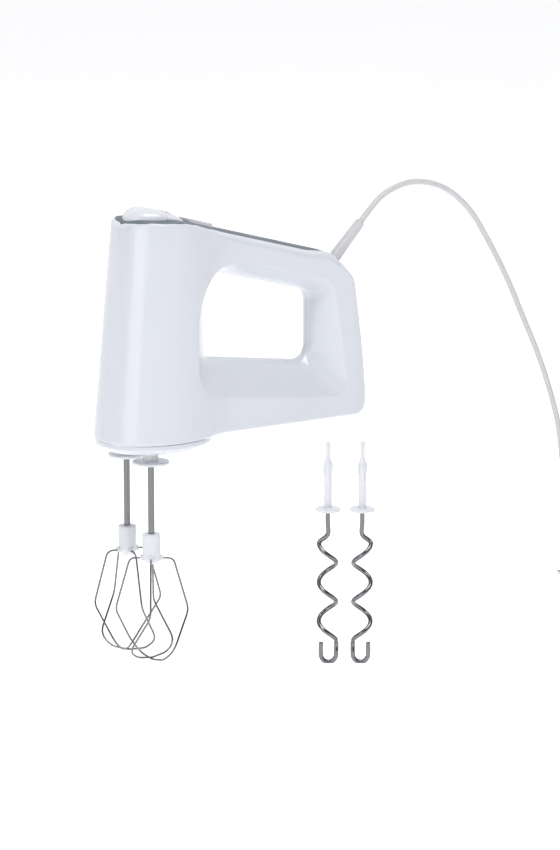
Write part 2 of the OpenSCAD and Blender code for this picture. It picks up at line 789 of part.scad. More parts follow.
module stator_core() {
  pole_w = 24;
  color([0.50, 0.51, 0.53]) in_hand() at_motor() translate([0, 0, stack_z]) difference() {
    cylinder(r = stator_r, h = stack_h);
    translate([0, 0, -1]) cylinder(r = rotor_r + air_gap, h = stack_h + 2);
    for (s = [-1, 1]) for (t = [-1, 1])
      translate([t > 0 ? rotor_r - 3 : -stator_r + 5, s > 0 ? 7 : -12, -1])
        cube([stator_r - rotor_r - 2, 5, stack_h + 2]);
    motor_screw_places() translate([0, 0, -1]) cylinder(r = screw_r + sliding, h = stack_h + 2);
  }
}
coil_over = 6;
module field_coils() {
  color([0.76, 0.42, 0.18]) in_hand() at_motor() for (s = [-1, 1])
    translate([0, s * 9.5, 0]) for (z = [stack_z - coil_over, stack_z + stack_h])
      translate([0, s * 7.6, z]) difference() {
        translate([-13, -3.4, 0]) cube([26, 6.8, coil_over]);
        translate([-30, s > 0 ? -13.4 : 3.4, -1]) cube([60, 10, coil_over + 2]);
      }
}
module bearing_seat(z) {
  difference() {
    cylinder(r = bearing_r + 2, h = z);
    translate([0, 0, 1]) cylinder(r = bearing_r, h = z);
    translate([0, 0, -1]) cylinder(r = shaft_r + 1, h = z + 2);
  }
}
module lower_bracket() {
  color("lightgray") in_hand() difference() {
    union() {
      translate([0, 0, bracket_z]) linear_extrude(height = bracket_t) {
        translate([motor_x, 0]) circle(r = stator_r);
        for (p = POSTS) hull() {
          translate([p[0], p[1]]) circle(r = 3.6, $fn = 24);
          translate([motor_x, 0]) circle(r = 8, $fn = 24);
        }
      }
      at_motor() translate([0, 0, bracket_z]) cylinder(r = bearing_r + 2, h = bearing_h + 1);
      at_motor() motor_screw_places() translate([0, 0, bracket_z]) cylinder(r = 3.2, h = stack_z - bracket_z);
    }
    at_motor() translate([0, 0, bearing_low_z]) cylinder(r = bearing_r, h = 20);
    at_motor() translate([0, 0, bracket_z - 1]) cylinder(r = shaft_r + 1, h = 20);
    at_motor() motor_screw_places() translate([0, 0, bracket_z - 1]) cylinder(r = screw_r, h = 100);
    for (p = POSTS) translate([p[0], p[1], bracket_z - 1]) cylinder(r = screw_r, h = 20);
  }
}
module upper_bracket() {
  color("lightgray") in_hand() difference() {
    union() {
      at_motor() translate([-stator_r, -11, upper_z - 1]) cube([2 * stator_r, 22, bracket_t]);
      at_motor() translate([0, 0, upper_z - 1]) cylinder(r = bearing_r + 2, h = bearing_h + 1);
      at_motor() motor_screw_places() translate([0, 0, stack_z + stack_h])
        cylinder(r = 3.2, h = upper_z - stack_z - stack_h);
    }
    at_motor() translate([0, 0, upper_z]) cylinder(r = bearing_r, h = 20);
    at_motor() translate([0, 0, upper_z - 2]) cylinder(r = shaft_r + 1, h = 20);
    at_motor() motor_screw_places() translate([0, 0, stack_z]) cylinder(r = screw_r + sliding, h = 200);
  }
}
module motor_bearings() {
  color("silver") in_hand() at_motor() for (z = [bearing_low_z, upper_z]) translate([0, 0, z]) difference() {
    cylinder(r = bearing_r, h = bearing_h);
    translate([0, 0, -1]) cylinder(r = shaft_r + running, h = bearing_h + 2);
  }
}
brush_w = 5;
brush_h = 6;
brush_l = 9;
brush_z = commutator_z + 3;
holder_wall = 1.4;
module brush_holders() {
  color([0.85, 0.75, 0.45]) in_hand() at_motor() for (s = [0, 180]) rotate([0, 0, 90 + s])
    difference() {
      translate([commutator_r + 2, -brush_w / 2 - holder_wall, brush_z - holder_wall])
        cube([15, brush_w + 2 * holder_wall, upper_z - 1 - brush_z + holder_wall]);
      translate([commutator_r, -brush_w / 2, brush_z]) cube([20, brush_w, brush_h]);
    }
}
module carbon_brushes() {
  color([0.15, 0.15, 0.16]) in_hand() at_motor() for (s = [0, 180]) rotate([0, 0, 90 + s])
    translate([commutator_r + 0.3, -brush_w / 2, brush_z]) cube([brush_l, brush_w, brush_h]);
}
motor_screw_l = upper_z - 1 + bracket_t - bracket_z - 2;
module motor_screws() {
  color("silver") in_hand() at_motor() motor_screw_places() {
    translate([0, 0, bracket_z + 2]) cylinder(r = screw_r, h = motor_screw_l);
    translate([0, 0, upper_z - 1 + bracket_t]) cylinder(r = screw_head_r, h = screw_head_h);
  }
}

module one_screw() {
  cylinder(r = screw_head_r, h = screw_head_h);
  translate([0, 0, -screw_l]) cylinder(r = screw_r, h = screw_l);
}
module housing_screws() {
  color("silver") in_hand() {
    for (p = SHELL_SCREWS) translate([p[0], head_y, p[1]]) rotate([-90, 0, 0]) one_screw();
    for (p = BASE_SCREWS) translate([p[0], p[1], screw_head_h]) mirror([0, 0, 1]) difference() {
      one_screw();
      translate([-5, -5, -screw_l - 1]) cube([10, 10, screw_l - 9]);
    }
    at_clamp() for (s = [-1, 1]) translate([0, s * clamp_gap, clamp_h]) difference() {
      one_screw();
      translate([-5, -5, -screw_l - 1]) cube([10, 10, screw_l - 7]);
    }
  }
}

// ---- eject mechanism ----
leg_y = stator_r + 1.6;
leg_t = 3;
leg_w = 12;
yoke_x = -spindle_x + 9;
crown_z = upper_z + bearing_h + 12;
button_floor = top_z - 9;
module eject_yoke() {
  color([0.93, 0.93, 0.90]) in_hand() union() {
    for (s = [-1, 1]) {
      translate([yoke_x - leg_w / 2, s > 0 ? leg_y : -leg_y - leg_t, foot_z]) cube([leg_w, leg_t, crown_z - foot_z + foot_t]);
      translate([-spindle_x - 4, s > 0 ? spindle_y - 5 : -leg_y - leg_t, foot_z])
        cube([yoke_x + leg_w / 2 + spindle_x + 4, leg_y + leg_t - spindle_y + 5, foot_t]);
    }
    translate([yoke_x - leg_w / 2, -leg_y - leg_t, crown_z]) cube([leg_w, 2 * (leg_y + leg_t), foot_t]);
    translate([-spindle_x + 2, 0, crown_z]) cylinder(r = 5, h = button_floor - crown_z);
  }
}
// The button's cap: rings of a half oval that shrink towards a flat top, tilted back as they rise.
CAP = [[0, 1], [0.35, 0.93], [0.65, 0.80], [0.88, 0.64], [1, 0.5]];
function half_oval_ring(l, w, z, tilt = 0) =
  let (steps = 20)
  [for (i = [0:steps])
    let (t = 90 + 180 * i / steps)
    let (x = l * cos(t))
    [split_x - button_gap / 2 + x, w * sin(t), z - tilt * (x + eject_l / 2)]];
module eject_button() {
  color([0.93, 0.94, 0.97]) in_hand() union() {
    loft(concat(
      [half_oval_ring(eject_l, eject_half_w, button_floor)],
      [for (k = CAP) half_oval_ring(eject_l * (0.3 + 0.7 * k[1]), eject_half_w * k[1],
        top_z + 1.2 + (eject_button_h - 1.2) * k[0], handle_fall * k[0])]));
  }
}
spring_turns = 6;
spring_wire = 0.5;
spring_r = 4;
spring_base_z = upper_z + bearing_h + 0.1;
module eject_spring() {
  h = crown_z - spring_base_z;
  color("silver") in_hand() translate([-spindle_x + 2, 0, crown_z - spring_wire])
    tube(helix(spring_r, (h - 2 * spring_wire) / spring_turns, spring_turns, 72), spring_wire, 6, [0, 0, 1]);
}

// ---- speed control ----
cover_base = panel_line(cover_x + cover_l) - 3;
module control_cover() {
  floor_z = top_z + 0.3;
  color([0.93, 0.94, 0.97]) in_hand() difference() {
    mirror([1, 0, 0]) translate([-2 * split_x, 0, 0]) loft(
      [for (k = [[-1, 1], [0, 1], [0.5, 0.96], [0.85, 0.84], [1, 0.7]])
        half_oval_ring(cover_l * (0.3 + 0.7 * k[1]), cover_half_w * k[1],
          floor_z - handle_fall * eject_l / 2 + cover_h * (k[0] < 0 ? -2.2 : k[0]), -handle_fall)]);
    across(4 * column_half_w) polygon(rounded_outline(BODY_SIDE, 0));
    translate([slot_x, -slot_w / 2, top_z - 20]) cube([slot_l, slot_w, 60]);
  }
}
module speed_slider() {
  x = slot_x + sliding;
  w = slot_w - 2 * sliding;
  low = board_z + board_t + 3;
  high = cover_h + 1.2;
  color([0.86, 0.88, 0.92]) in_hand() union() {
    across(w) polygon([[x, low], [x + rib_l, low], [x + rib_l, panel_line(x + rib_l) + high], [x, panel_line(x) + high]]);
    translate([x, -7, board_z + board_t + 2]) cube([rib_l, 14, 3]);
  }
}
board_z = top_z - 22;
board_t = 1.6;
board_x = 6;
board_l = 22;
module control_board() {
  color([0.20, 0.42, 0.25]) in_hand() difference() {
    union() {
      translate([board_x, -15, board_z]) cube([board_l, 30, board_t]);
      translate([board_x + 2, 8, board_z + board_t]) cube([12, 5, 7]);
      translate([board_x + 18, 8, board_z - 8]) cylinder(r = 4, h = 8);
      translate([board_x + 4, -12, board_z - 12]) cube([14, 3, 12]);
    }
    for (y = [-11, 11]) translate([board_x + board_l - 3, y, board_z - 1]) cylinder(r = screw_r, h = 5);
  }
}

// ---- turbo button ----
turbo_mid = turbo_x + turbo_l / 2;
turbo_spring_r = 2.6;
switch_top = panel_line(turbo_mid) - 16;
module turbo_button() {
  color([0.93, 0.94, 0.97]) in_hand() union() {
    intersection() {
      translate([0, 0, top_z - 60]) linear_extrude(height = 80) turbo_outline(0);
      translate([0, 0, turbo_h]) across(60) polygon(rounded_outline(BODY_SIDE, 0));
      translate([turbo_mid, 0, switch_top + 8 + 60]) cube([60, 60, 120], center = true);
    }
    translate([turbo_mid - 6, 0, switch_top + turbo_travel + sliding]) cylinder(r = 1.8, h = 10);
  }
}
module turbo_spring() {
  h = 8;
  color("silver") in_hand() translate([turbo_mid + 2, 0, switch_top + h - 0.35])
    tube(helix(turbo_spring_r, (h - 0.7) / 5, 5, 60), 0.35, 6, [0, 0, 1]);
}
module turbo_microswitch() {
  color([0.18, 0.18, 0.20]) in_hand() translate([turbo_mid - 10, -5, switch_top - 7]) cube([20, 10, 7]);
}

// ---- cord fittings inside the body ----
clamp_h = 4;
clamp_gap = 8;
module at_clamp() at_exit() translate([0, 0, -24]) rotate([0, 90, 0]) translate([0, 0, cord_d / 2]) children();
module cord_clamp() {
  color([0.85, 0.85, 0.83]) in_hand() at_clamp() difference() {
    translate([-3.5, -clamp_gap - 3.5, 0]) cube([7, 2 * clamp_gap + 7, clamp_h]);
    for (s = [-1, 1]) translate([0, s * clamp_gap, -1]) cylinder(r = screw_r + sliding, h = clamp_h + 2);
  }
}
module strain_relief() {
  color([0.92, 0.92, 0.90]) in_hand() at_exit() difference() {
    union() {
      translate([0, 0, -relief_inner_l]) cylinder(r = relief_base_r, h = relief_inner_l);
      cylinder(r1 = relief_base_r, r2 = relief_tip_r, h = relief_l);
      translate([0, 0, -relief_inner_l - 2]) cylinder(r = relief_flange_r, h = 2);
    }
    translate([0, 0, -relief_inner_l - 3]) cylinder(r = cord_d / 2, h = relief_inner_l + relief_l - 1);
  }
}

// ---- cord, coil and plug, in the finished part's own axes ----
// Height of the surface under the mixer, which the hooks' ends and the coil reach.
surface_z = -330;
CORD_ROUTE = [
  [108.5, 0, 20.6], [114, 0, 26.2], [121, 0, 33], [131, 0, 41], [144, -1, 47], [156, -2, 50], [168, -3, 50],
  [181, -4, 47.5], [194, -6, 42], [205, -8, 34], [214, -10, 25], [222, -12, 14], [229, -14, 2],
  [238, -18, -16], [248, -24, -40], [258, -30, -68], [268, -37, -97], [277, -43, -128],
  [284.5, -48, -162], [287.5, -52, -200], [289, -55, -240], [290, -58, -275], [291.2, -60.5, -304],
  [296, -63.6, -318.5], [303, -68.2, -325.8], [310, -72.8, -327.6], [321.7, -80.6, -327.6]
];
COIL_AT = [338, -56, surface_z];
plug_l = 34;
plug_h = 13.5;
plug_w = 35;
// The plug lies on the coil, along it, where the cord's end comes up out of the top turn.
plug_turn = 120;
PLUG_AT = COIL_AT + [coil_r * cos(plug_turn - 90) + (plug_l / 2 + 6) * cos(plug_turn),
  coil_r * sin(plug_turn - 90) + (plug_l / 2 + 6) * sin(plug_turn), coil_h];
module mains_cord() {
  color([0.90, 0.90, 0.88]) tube(bent(CORD_ROUTE, [for (p = CORD_ROUTE) 4], 1), cord_d / 2, 8, [0, 1, 0]);
}
module cord_coil() {
  color([0.90, 0.90, 0.88]) translate(COIL_AT) rotate_extrude($fn = 64)
    translate([coil_r - coil_w / 2, 0]) square([coil_w, coil_h]);
}
tie_w = 6;
tie_t = 1;
module coil_tie() {
  color([0.25, 0.26, 0.28]) translate(COIL_AT) rotate([0, 0, 170]) difference() {
    translate([coil_r - coil_w / 2 - tie_t, -tie_w / 2, 0]) cube([coil_w + 2 * tie_t, tie_w, coil_h + tie_t]);
    rotate_extrude($fn = 64) translate([coil_r - coil_w / 2, -1]) square([coil_w, coil_h + 1]);
  }
}
module plug_body() {
  color([0.91, 0.91, 0.89]) translate(PLUG_AT) rotate([0, 0, plug_turn]) translate([-plug_l / 2 - 6, 0, plug_h / 2]) {
    loft([for (k = [[0, 0.26, 0.62], [0.3, 0.42, 0.8], [0.55, 0.86, 1], [0.8, 1, 1], [1, 0.94, 0.92]])
      let (w = plug_w * k[1] / 2, h = plug_h * k[2] / 2)
      [for (i = [0:23])
        let (t = -15 * i)
        [plug_l * k[0], w * sign(cos(t)) * pow(abs(cos(t)), 0.6), h * sign(sin(t)) * pow(abs(sin(t)), 0.6)]]]);
  }
}
module plug_pins() {
  color("silver") translate(PLUG_AT) rotate([0, 0, plug_turn]) translate([-plug_l / 2 - 6, 0, plug_h / 2])
    for (s = [-1, 1]) translate([plug_l, s * plug_pin_gap / 2, 0]) rotate([0, 90, 0])
      cylinder(r = plug_pin_r, h = plug_pin_l);
}

// ---- tools that fit the spindles ----
rib_base = 29;
rib_h = 8.5;
disc_t = 2.2;
cone_h = 5;
// A shank standing on its disc, whose top is at height zero.
module tool_shank(disc_r, collar_h) {
  translate([0, 0, -disc_t]) cylinder(r = disc_r, h = disc_t);
  cylinder(r = shank_r, h = rib_base + rib_h);
  if (collar_h > 0) cylinder(r = collar_r, h = collar_h);
  for (a = [0, 90]) rotate([0, 0, a]) translate([-rib_r, -keyway_w / 2 + sliding, rib_base])
    cube([2 * rib_r, keyway_w - 2 * sliding, rib_h]);
  translate([0, 0, rib_base + rib_h]) cylinder(r1 = shank_r, r2 = neck_r, h = cone_h);
  translate([0, 0, rib_base + rib_h]) cylinder(r = neck_r, h = shank_l - rib_base - rib_h - 2);
  translate([0, 0, shank_l - 2]) cylinder(r1 = knob_r, r2 = neck_r, h = 2);
}
whisk_collar_h = spindle_low - disc_top;
rod_top = disc_top - disc_t;
arm_z = rod_top - rod_l - hub_h;
module whisk_shank() {
  translate([0, 0, disc_top]) tool_shank(whisk_disc_r, whisk_collar_h);
}
module whisk_rod() {
  translate([0, 0, arm_z]) cylinder(r = rod_r, h = rod_top - arm_z);
}
boss_out = 9.4;
module whisk_hub() {
  difference() {
    union() {
      translate([0, 0, arm_z]) cylinder(r = hub_r, h = hub_h);
      translate([0, 0, arm_z - 4.5]) cylinder(r1 = hub_r - 2.6, r2 = hub_r, h = 4.5);
      for (a = [0:90:270]) rotate([0, 90, a]) cylinder_at_arm();
    }
    translate([0, 0, arm_z]) cylinder(r = rod_r, h = hub_h + 1);
    for (a = [0:90:270]) rotate([0, 0, a]) translate([hub_r - 3, 0, arm_z]) rotate([0, 90, 0])
      cylinder(r = wire_r, h = 10);
  }
}
module cylinder_at_arm() translate([-arm_z, 0, hub_r - 2]) cylinder(r1 = 3, r2 = 2.2, h = boss_out - hub_r + 2);

// One wire from its socket in the hub to the foot of the cage: out, down to the widest
// point, then down while it swings round the axis, and in to the middle.
swing = 17.5;
function wire_path(drop) = bent([
    [hub_r - 3, 0, 0], [0.59 * cage_r, 0, 0], [cage_r, 0, -0.505 * cage_h],
    [0.6 * cage_r, -swing, -0.875 * cage_h], [0.3 * cage_r, -0.62 * swing, -0.975 * cage_h - drop],
    [0, 0, -cage_h - drop]
  ], [4, 4, 6, 4]);
// A whole loop is a wire and its turned copy, joined at the foot.
function loop_path(drop) =
  let (half = wire_path(drop), n = len(half))
  concat(half, [for (i = [n - 2:-1:0]) [-half[i][0], -half[i][1], half[i][2]]]);
module whisk_wires() {
  translate([0, 0, arm_z + wire_r]) {
    translate([0, 0, -wire_r]) tube(loop_path(-2 * wire_r - 0.1), wire_r, 8, [0, 0, 1]);
    rotate([0, 0, 90]) translate([0, 0, -wire_r]) tube(loop_path(0), wire_r, 8, [0, 0, 1]);
  }
}
// The left whisk's arms stand at this angle; the right one is its mirror image, half a step on.
left_arm_angle = 55;
right_arm_angle = -left_arm_angle + 45;
module at_left_whisk() in_hand() at_left() rotate([0, 0, left_arm_angle]) children();
module at_right_whisk() in_hand() at_right() rotate([0, 0, right_arm_angle]) mirror([0, 1, 0]) children();
module left_whisk_shank() color("white") in_hand() at_left() whisk_shank();
module right_whisk_shank() color("white") in_hand() at_right() whisk_shank();
module left_whisk_rod() color("silver") at_left_whisk() whisk_rod();
module right_whisk_rod() color("silver") at_right_whisk() whisk_rod();
module left_whisk_hub() color("white") at_left_whisk() whisk_hub();
module right_whisk_hub() color("white") at_right_whisk() whisk_hub();
module left_whisk_wires() color("silver") at_left_whisk() whisk_wires();
module right_whisk_wires() color("silver") at_right_whisk() whisk_wires();

// ---- dough hooks, in the finished part's own axes ----
LEFT_HOOK = [33, -60];
RIGHT_HOOK = [56, -76];
helix_turns = 2.5;
hook_tip = 10;
helix_start = 55;
hook_len = hook_neck + 7 + helix_pitch * helix_turns + 12 + hook_bend_r + hook_rod_r;
hook_disc_z = surface_z + hook_len + 1;
module hook_at(place) translate([place[0], place[1], hook_disc_z]) children();
// Rod: a straight neck, the helix, then a J bend whose tip turns up beside the rod.
view_turn = -35;
function hook_path(hand) =
  let (a0 = 180)
  let (top = -hook_neck)
  let (body = [for (p = helix(helix_r, helix_pitch, helix_turns, 34, 0, 1)) p])
  let (z1 = top - 7)
  let (last = body[len(body) - 1])
  let (x1 = helix_r * cos(360 * helix_turns))
  let (zb = z1 - helix_pitch * helix_turns - 12)
  concat(
    [[0, 0, 0], [0, 0, 0.55 * top], [0, 0, top]],
    [for (p = body) [p[0], p[1], z1 + p[2]]],
    [for (a = [0:22.5:180]) [x1 + hook_bend_r - hook_bend_r * cos(a), 0, zb - hook_bend_r * sin(a)]],
    [[x1 + 2 * hook_bend_r, 0, zb + hook_tip]]);
module hook_rod(hand) {
  rotate([0, 0, view_turn + 180]) mirror([hand > 0 ? 0 : 1, 0, 0])
    tube(hook_path(hand), hook_rod_r, 8, [1, 0, 0]);
}
module left_hook_shank() color("white") hook_at(LEFT_HOOK) tool_shank(hook_disc_r, 0);
module right_hook_shank() color("white") hook_at(RIGHT_HOOK) tool_shank(hook_disc_r, 0);
module left_hook_rod() color("silver") hook_at(LEFT_HOOK) translate([0, 0, -disc_t]) hook_rod(1);
module right_hook_rod() color("silver") hook_at(RIGHT_HOOK) translate([0, 0, -disc_t]) hook_rod(-1);

left_housing();
right_housing();
top_panel();
base_cover();
eject_button();
eject_yoke();
eject_spring();
control_cover();
speed_slider();
turbo_button();
turbo_spring();
control_board();
turbo_microswitch();
gearbox_base();
gearbox_cover();
gearbox_posts();
spindle_bushes();
left_spindle();
right_spindle();
left_spindle_gear();
right_spindle_gear();
left_detent_ring();
right_detent_ring();
compound_gear();
compound_axle();
motor_pinion();
motor_shaft();
rotor_core();
rotor_winding();
commutator();
cooling_fan();
stator_core();
field_coils();
lower_bracket();
upper_bracket();
motor_bearings();
brush_holders();
carbon_brushes();
motor_screws();
housing_screws();
cord_clamp();
strain_relief();
mains_cord();
cord_coil();
coil_tie();
plug_body();
plug_pins();
left_whisk_shank();
left_whisk_rod();
left_whisk_hub();
left_whisk_wires();
right_whisk_shank();
right_whisk_rod();
right_whisk_hub();
right_whisk_wires();
left_hook_shank();
left_hook_rod();
right_hook_shank();
right_hook_rod();
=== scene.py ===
"""Visible surfaces, finishes and studio for the hand mixer, laid out as a Blender add-on.

All lengths in the sizes below are millimetres in the motor column's own axes: +X back along
the handle, -Y the user's left, +Z up, heights from the underside of the base cover. in_hand()
turns them into metres in the part's frame, whose origin is the middle of the hand grip.
"""
import json
import math

import bpy
import numpy as np
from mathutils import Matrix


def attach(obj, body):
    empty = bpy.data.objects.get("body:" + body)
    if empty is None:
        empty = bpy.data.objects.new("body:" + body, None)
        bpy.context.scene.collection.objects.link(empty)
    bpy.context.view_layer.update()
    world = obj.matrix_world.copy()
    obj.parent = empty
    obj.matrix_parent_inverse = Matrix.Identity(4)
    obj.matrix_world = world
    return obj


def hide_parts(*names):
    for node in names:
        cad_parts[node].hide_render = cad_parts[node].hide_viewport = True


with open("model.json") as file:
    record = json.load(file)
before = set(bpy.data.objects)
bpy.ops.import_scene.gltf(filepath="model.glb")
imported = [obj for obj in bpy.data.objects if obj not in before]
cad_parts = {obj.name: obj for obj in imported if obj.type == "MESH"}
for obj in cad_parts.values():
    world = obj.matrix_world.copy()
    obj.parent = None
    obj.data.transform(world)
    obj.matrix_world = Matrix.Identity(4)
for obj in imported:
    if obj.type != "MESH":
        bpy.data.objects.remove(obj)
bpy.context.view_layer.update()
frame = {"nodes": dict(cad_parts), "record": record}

bl_info = {
    "name": "Hand mixer",
    "version": (1, 0, 0),
    "blender": (4, 5, 0),
    "location": "3D View > Sidebar > Mixer",
    "description": "Builds the visible surfaces of a hand mixer around its mechanical frame",
    "category": "Object",
}

# Places that the mechanical parts share: the middle of the grip, the spindles, the shells' foot
# and flat top, and the body's rear face.
GRIP = np.array([92.0, 0.0, 143.0])
SPINDLE_X, SPINDLE_Y = -18.0, 18.0
SHELL_FOOT, TOP = 8.0, 185.0
BODY_BACK = 197.0

# The finishes by slot name, filled in by make_materials().
MATERIALS = {}


# ---------------------------------------------------------------- helpers

def in_hand(points):
    """Column millimetres to metres in the part's frame: less the grip's place, over a thousand."""
    return (np.asarray(points, float) - GRIP) / 1000.0


def new_piece(name, points, faces, body, slot, *nodes):
    """A smooth mesh piece from points (metres) and faces, with its slot's finish, that rides on a
    body and stands for the given nodes."""
    mesh = bpy.data.meshes.new(name)
    mesh.from_pydata(np.asarray(points).reshape(-1, 3).tolist(), [], [list(f) for f in faces])
    mesh.validate()
    mesh.update()
    mesh.polygons.foreach_set("use_smooth", np.ones(len(mesh.polygons), bool))
    piece = bpy.data.objects.new(name, mesh)
    bpy.context.scene.collection.objects.link(piece)
    mesh.materials.append(MATERIALS[slot])
    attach(piece, body)
    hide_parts(*nodes)
    return piece


def grid_faces(rows, cols, close_cols=True):
    """Quads of a grid of rows by cols points, the columns closed into a ring if asked."""
    r = np.arange(rows - 1)[:, None]
    c = np.arange(cols if close_cols else cols - 1)[None, :]
    d = (c + 1) % cols
    quads = np.stack([r * cols + c, r * cols + d, (r + 1) * cols + d, (r + 1) * cols + c], -1)
    return quads.reshape(-1, 4).tolist()


def closed_rings(rings):
    """Faces of a stack of rings with a flat face at each end; rings is (rows, cols, 3)."""
    rows, cols = rings.shape[:2]
    faces = grid_faces(rows, cols)
    faces.append(list(range(cols - 1, -1, -1)))
    faces.append(list(range((rows - 1) * cols, rows * cols)))
    return faces


def joined(parts):
    """Several (points, faces) pairs as one pair."""
    points, faces, start = [], [], 0
    for p, f in parts:
        p = np.asarray(p).reshape(-1, 3)
        points.append(p)
        faces += [[i + start for i in q] for q in f]
        start += len(p)
    return np.concatenate(points), faces


def lathe(profile, centre, axis=(0, 0, 1), steps=48):
    """A profile of (radius, height) pairs turned about an axis through centre, ends closed."""
    axis = np.asarray(axis, float) / np.linalg.norm(axis)
    side = np.cross(axis, [0, 1, 0] if abs(axis[1]) < 0.9 else [1, 0, 0])
    side /= np.linalg.norm(side)
    other = np.cross(axis, side)
    r, h = np.asarray(profile, float).T
    a = np.linspace(0, 2 * np.pi, steps, endpoint=False)
    ring = np.cos(a)[:, None] * side + np.sin(a)[:, None] * other
    pts = np.asarray(centre, float) + h[:, None, None] * axis + r[:, None, None] * ring[None]
    return pts, closed_rings(pts)


def smooth_path(points, per):
    """A Catmull-Rom curve through the points, per samples to a span, by chord length."""
    p = np.asarray(points, float)
    ends = np.vstack([2 * p[0] - p[1], p, 2 * p[-1] - p[-2]])
    a, b, c, d = ends[:-3], ends[1:-2], ends[2:-1], ends[3:]
    spans = ((a, b), (b, c), (c, d))
    la, lb, lc = [np.linalg.norm(v - u, axis=1, keepdims=True) for u, v in spans]
    m0 = lb * ((b - a) / la - (c - a) / (la + lb) + (c - b) / lb)
    m1 = lb * ((c - b) / lb - (d - b) / (lb + lc) + (d - c) / lc)
    t = np.linspace(0, 1, per, endpoint=False)[None, :, None]
    h = (2 * t ** 3 - 3 * t ** 2 + 1) * b[:, None] + (t ** 3 - 2 * t ** 2 + t) * m0[:, None]
    h = h + (-2 * t ** 3 + 3 * t ** 2) * c[:, None] + (t ** 3 - t ** 2) * m1[:, None]
    return np.vstack([h.reshape(-1, 3), p[-1:]])


def bent_path(points, reach, steps):
    """A polyline whose inner corners are parabolic bends that start reach away (one a corner):
    the corner weighs 2t(1 - t) and the bend's ends (1 - t) squared and t squared."""
    p = np.asarray(points, float)
    t = np.linspace(0, 1, steps)[:, None]
    out = [p[:1]]
    for a, b, c, d in zip(p[:-2], p[1:-1], p[2:], reach):
        s = b + (a - b) / np.linalg.norm(a - b) * d
        e = b + (c - b) / np.linalg.norm(c - b) * d
        out.append((1 - t) ** 2 * s + 2 * t * (1 - t) * b + t ** 2 * e)
    out.append(p[-1:])
    return np.concatenate(out)


def rounded_profile(points, radius):
    """A polyline of (radius, height) whose inner corners are bends of five points that start
    radius away, or 0.45 of the way along a shorter side."""
    p = np.asarray(points, float)
    sides = np.linalg.norm(np.diff(p, axis=0), axis=1)
    return bent_path(p, np.minimum(radius, 0.45 * np.minimum(sides[:-1], sides[1:])), 5)


def tube(path, radius, sides, reference):
    """A round tube along a path: rings of radius about each point, square to the path.
    reference is a direction, or one for each point, that the path never runs along.
    Each end is drawn in to a small rounded cap."""
    path = np.asarray(path, float)
    d = np.gradient(path, axis=0)
    d /= np.linalg.norm(d, axis=1, keepdims=True)
    ref = np.broadcast_to(np.asarray(reference, float), path.shape)
    n = ref - d * np.sum(ref * d, axis=1, keepdims=True)
    n /= np.linalg.norm(n, axis=1, keepdims=True)
    b = np.cross(d, n)
    a = np.linspace(0, 2 * np.pi, sides, endpoint=False)
    ring = np.cos(a)[None, :, None] * n[:, None] + np.sin(a)[None, :, None] * b[:, None]
    pts = path[:, None] + radius * ring
    cap0 = path[0] - d[0] * radius * 0.3 + 0.7 * radius * ring[0]
    cap1 = path[-1] + d[-1] * radius * 0.3 + 0.7 * radius * ring[-1]
    pts = np.concatenate([cap0[None], pts, cap1[None]])
    return pts, closed_rings(pts)


# ---------------------------------------------------------------- the body's shape

# The column: power of its superellipse, the slope of its front and how far ahead of MIDDLE the
# front is (a first guess), and the half width at which the side face gives way to the nose.
ROUND = 2.2
FRONT_SLOPE, FRONT_REACH = 0.1017, 138.0
NOSE = 14.0
# The limbs behind it: half width at the foot and its fall for each millimetre up, the length and
# depth of the rear end's rounding, and how softly the limbs join the column.
LIMB_HALF, LIMB_FALL = 26, 0.028
REAR_L, REAR_DEPTH = 22, 0.72
BLEND = 16.0
# The top panel: front and rear ends, half width of its strip along the handle, height above
# which the shells' edge may border on it, and depth of the lip that turns down there.
PANEL_FRONT, PANEL_END = -30.9, 159.0
STRIP_HALF = 13
PANEL_LOW = 118
LIP = 1.6
# Fall of the handle's top line for each millimetre back.
SLOPE = 0.26
# How far the crowned top falls at the column's rim, that rim's half width, and the fall at the
# edge of the handle's strip.
RIM_FALL, RIM_HALF, STRIP_FALL = 2.9, 33, 2.7
# How sharply the opening's wall turns from the centre plane into its flare.
FLARE_BEND = 0.5
# Lengths below this count as nothing.
TINY = 1e-6


def column_at(z):
    """Section of the column at height z: centre, half length and half width. From foot to top
    the front leans back 18 mm, the back forward 4 mm, and the half width shrinks by 8 mm."""
    rise = (z - SHELL_FOOT) / (TOP - SHELL_FOOT)
    front, back = -52 + 18 * rise, 44 - 4 * rise
    return (front + back) / 2, (back - front) / 2, 42.5 - 8 * rise


def body_half(x, z):
    """Half width of the body: a superellipse ahead of the column's centre, and behind it a soft
    maximum of that superellipse and the limbs' straight sides, rounded off towards the back."""
    c, a, b = column_at(z)
    u = np.clip(np.abs(x - c) / a, 0, 1)
    column = b * np.maximum(1 - u ** ROUND, 0) ** (1 / ROUND)
    end = np.clip((x - (BODY_BACK - REAR_L)) / REAR_L, 0, 1)
    limb = (LIMB_HALF - LIMB_FALL * (z - SHELL_FOOT)) * np.sqrt(1 - REAR_DEPTH * end ** 2)
    k = BLEND * np.clip((x - c) / a, 0, 1)
    soft = (column + limb + np.sqrt((column - limb) ** 2 + k ** 2)) / 2 - k ** 2 / (4 * LIMB_HALF)
    return np.where(x <= c, column, np.maximum(np.maximum(column, limb), soft))


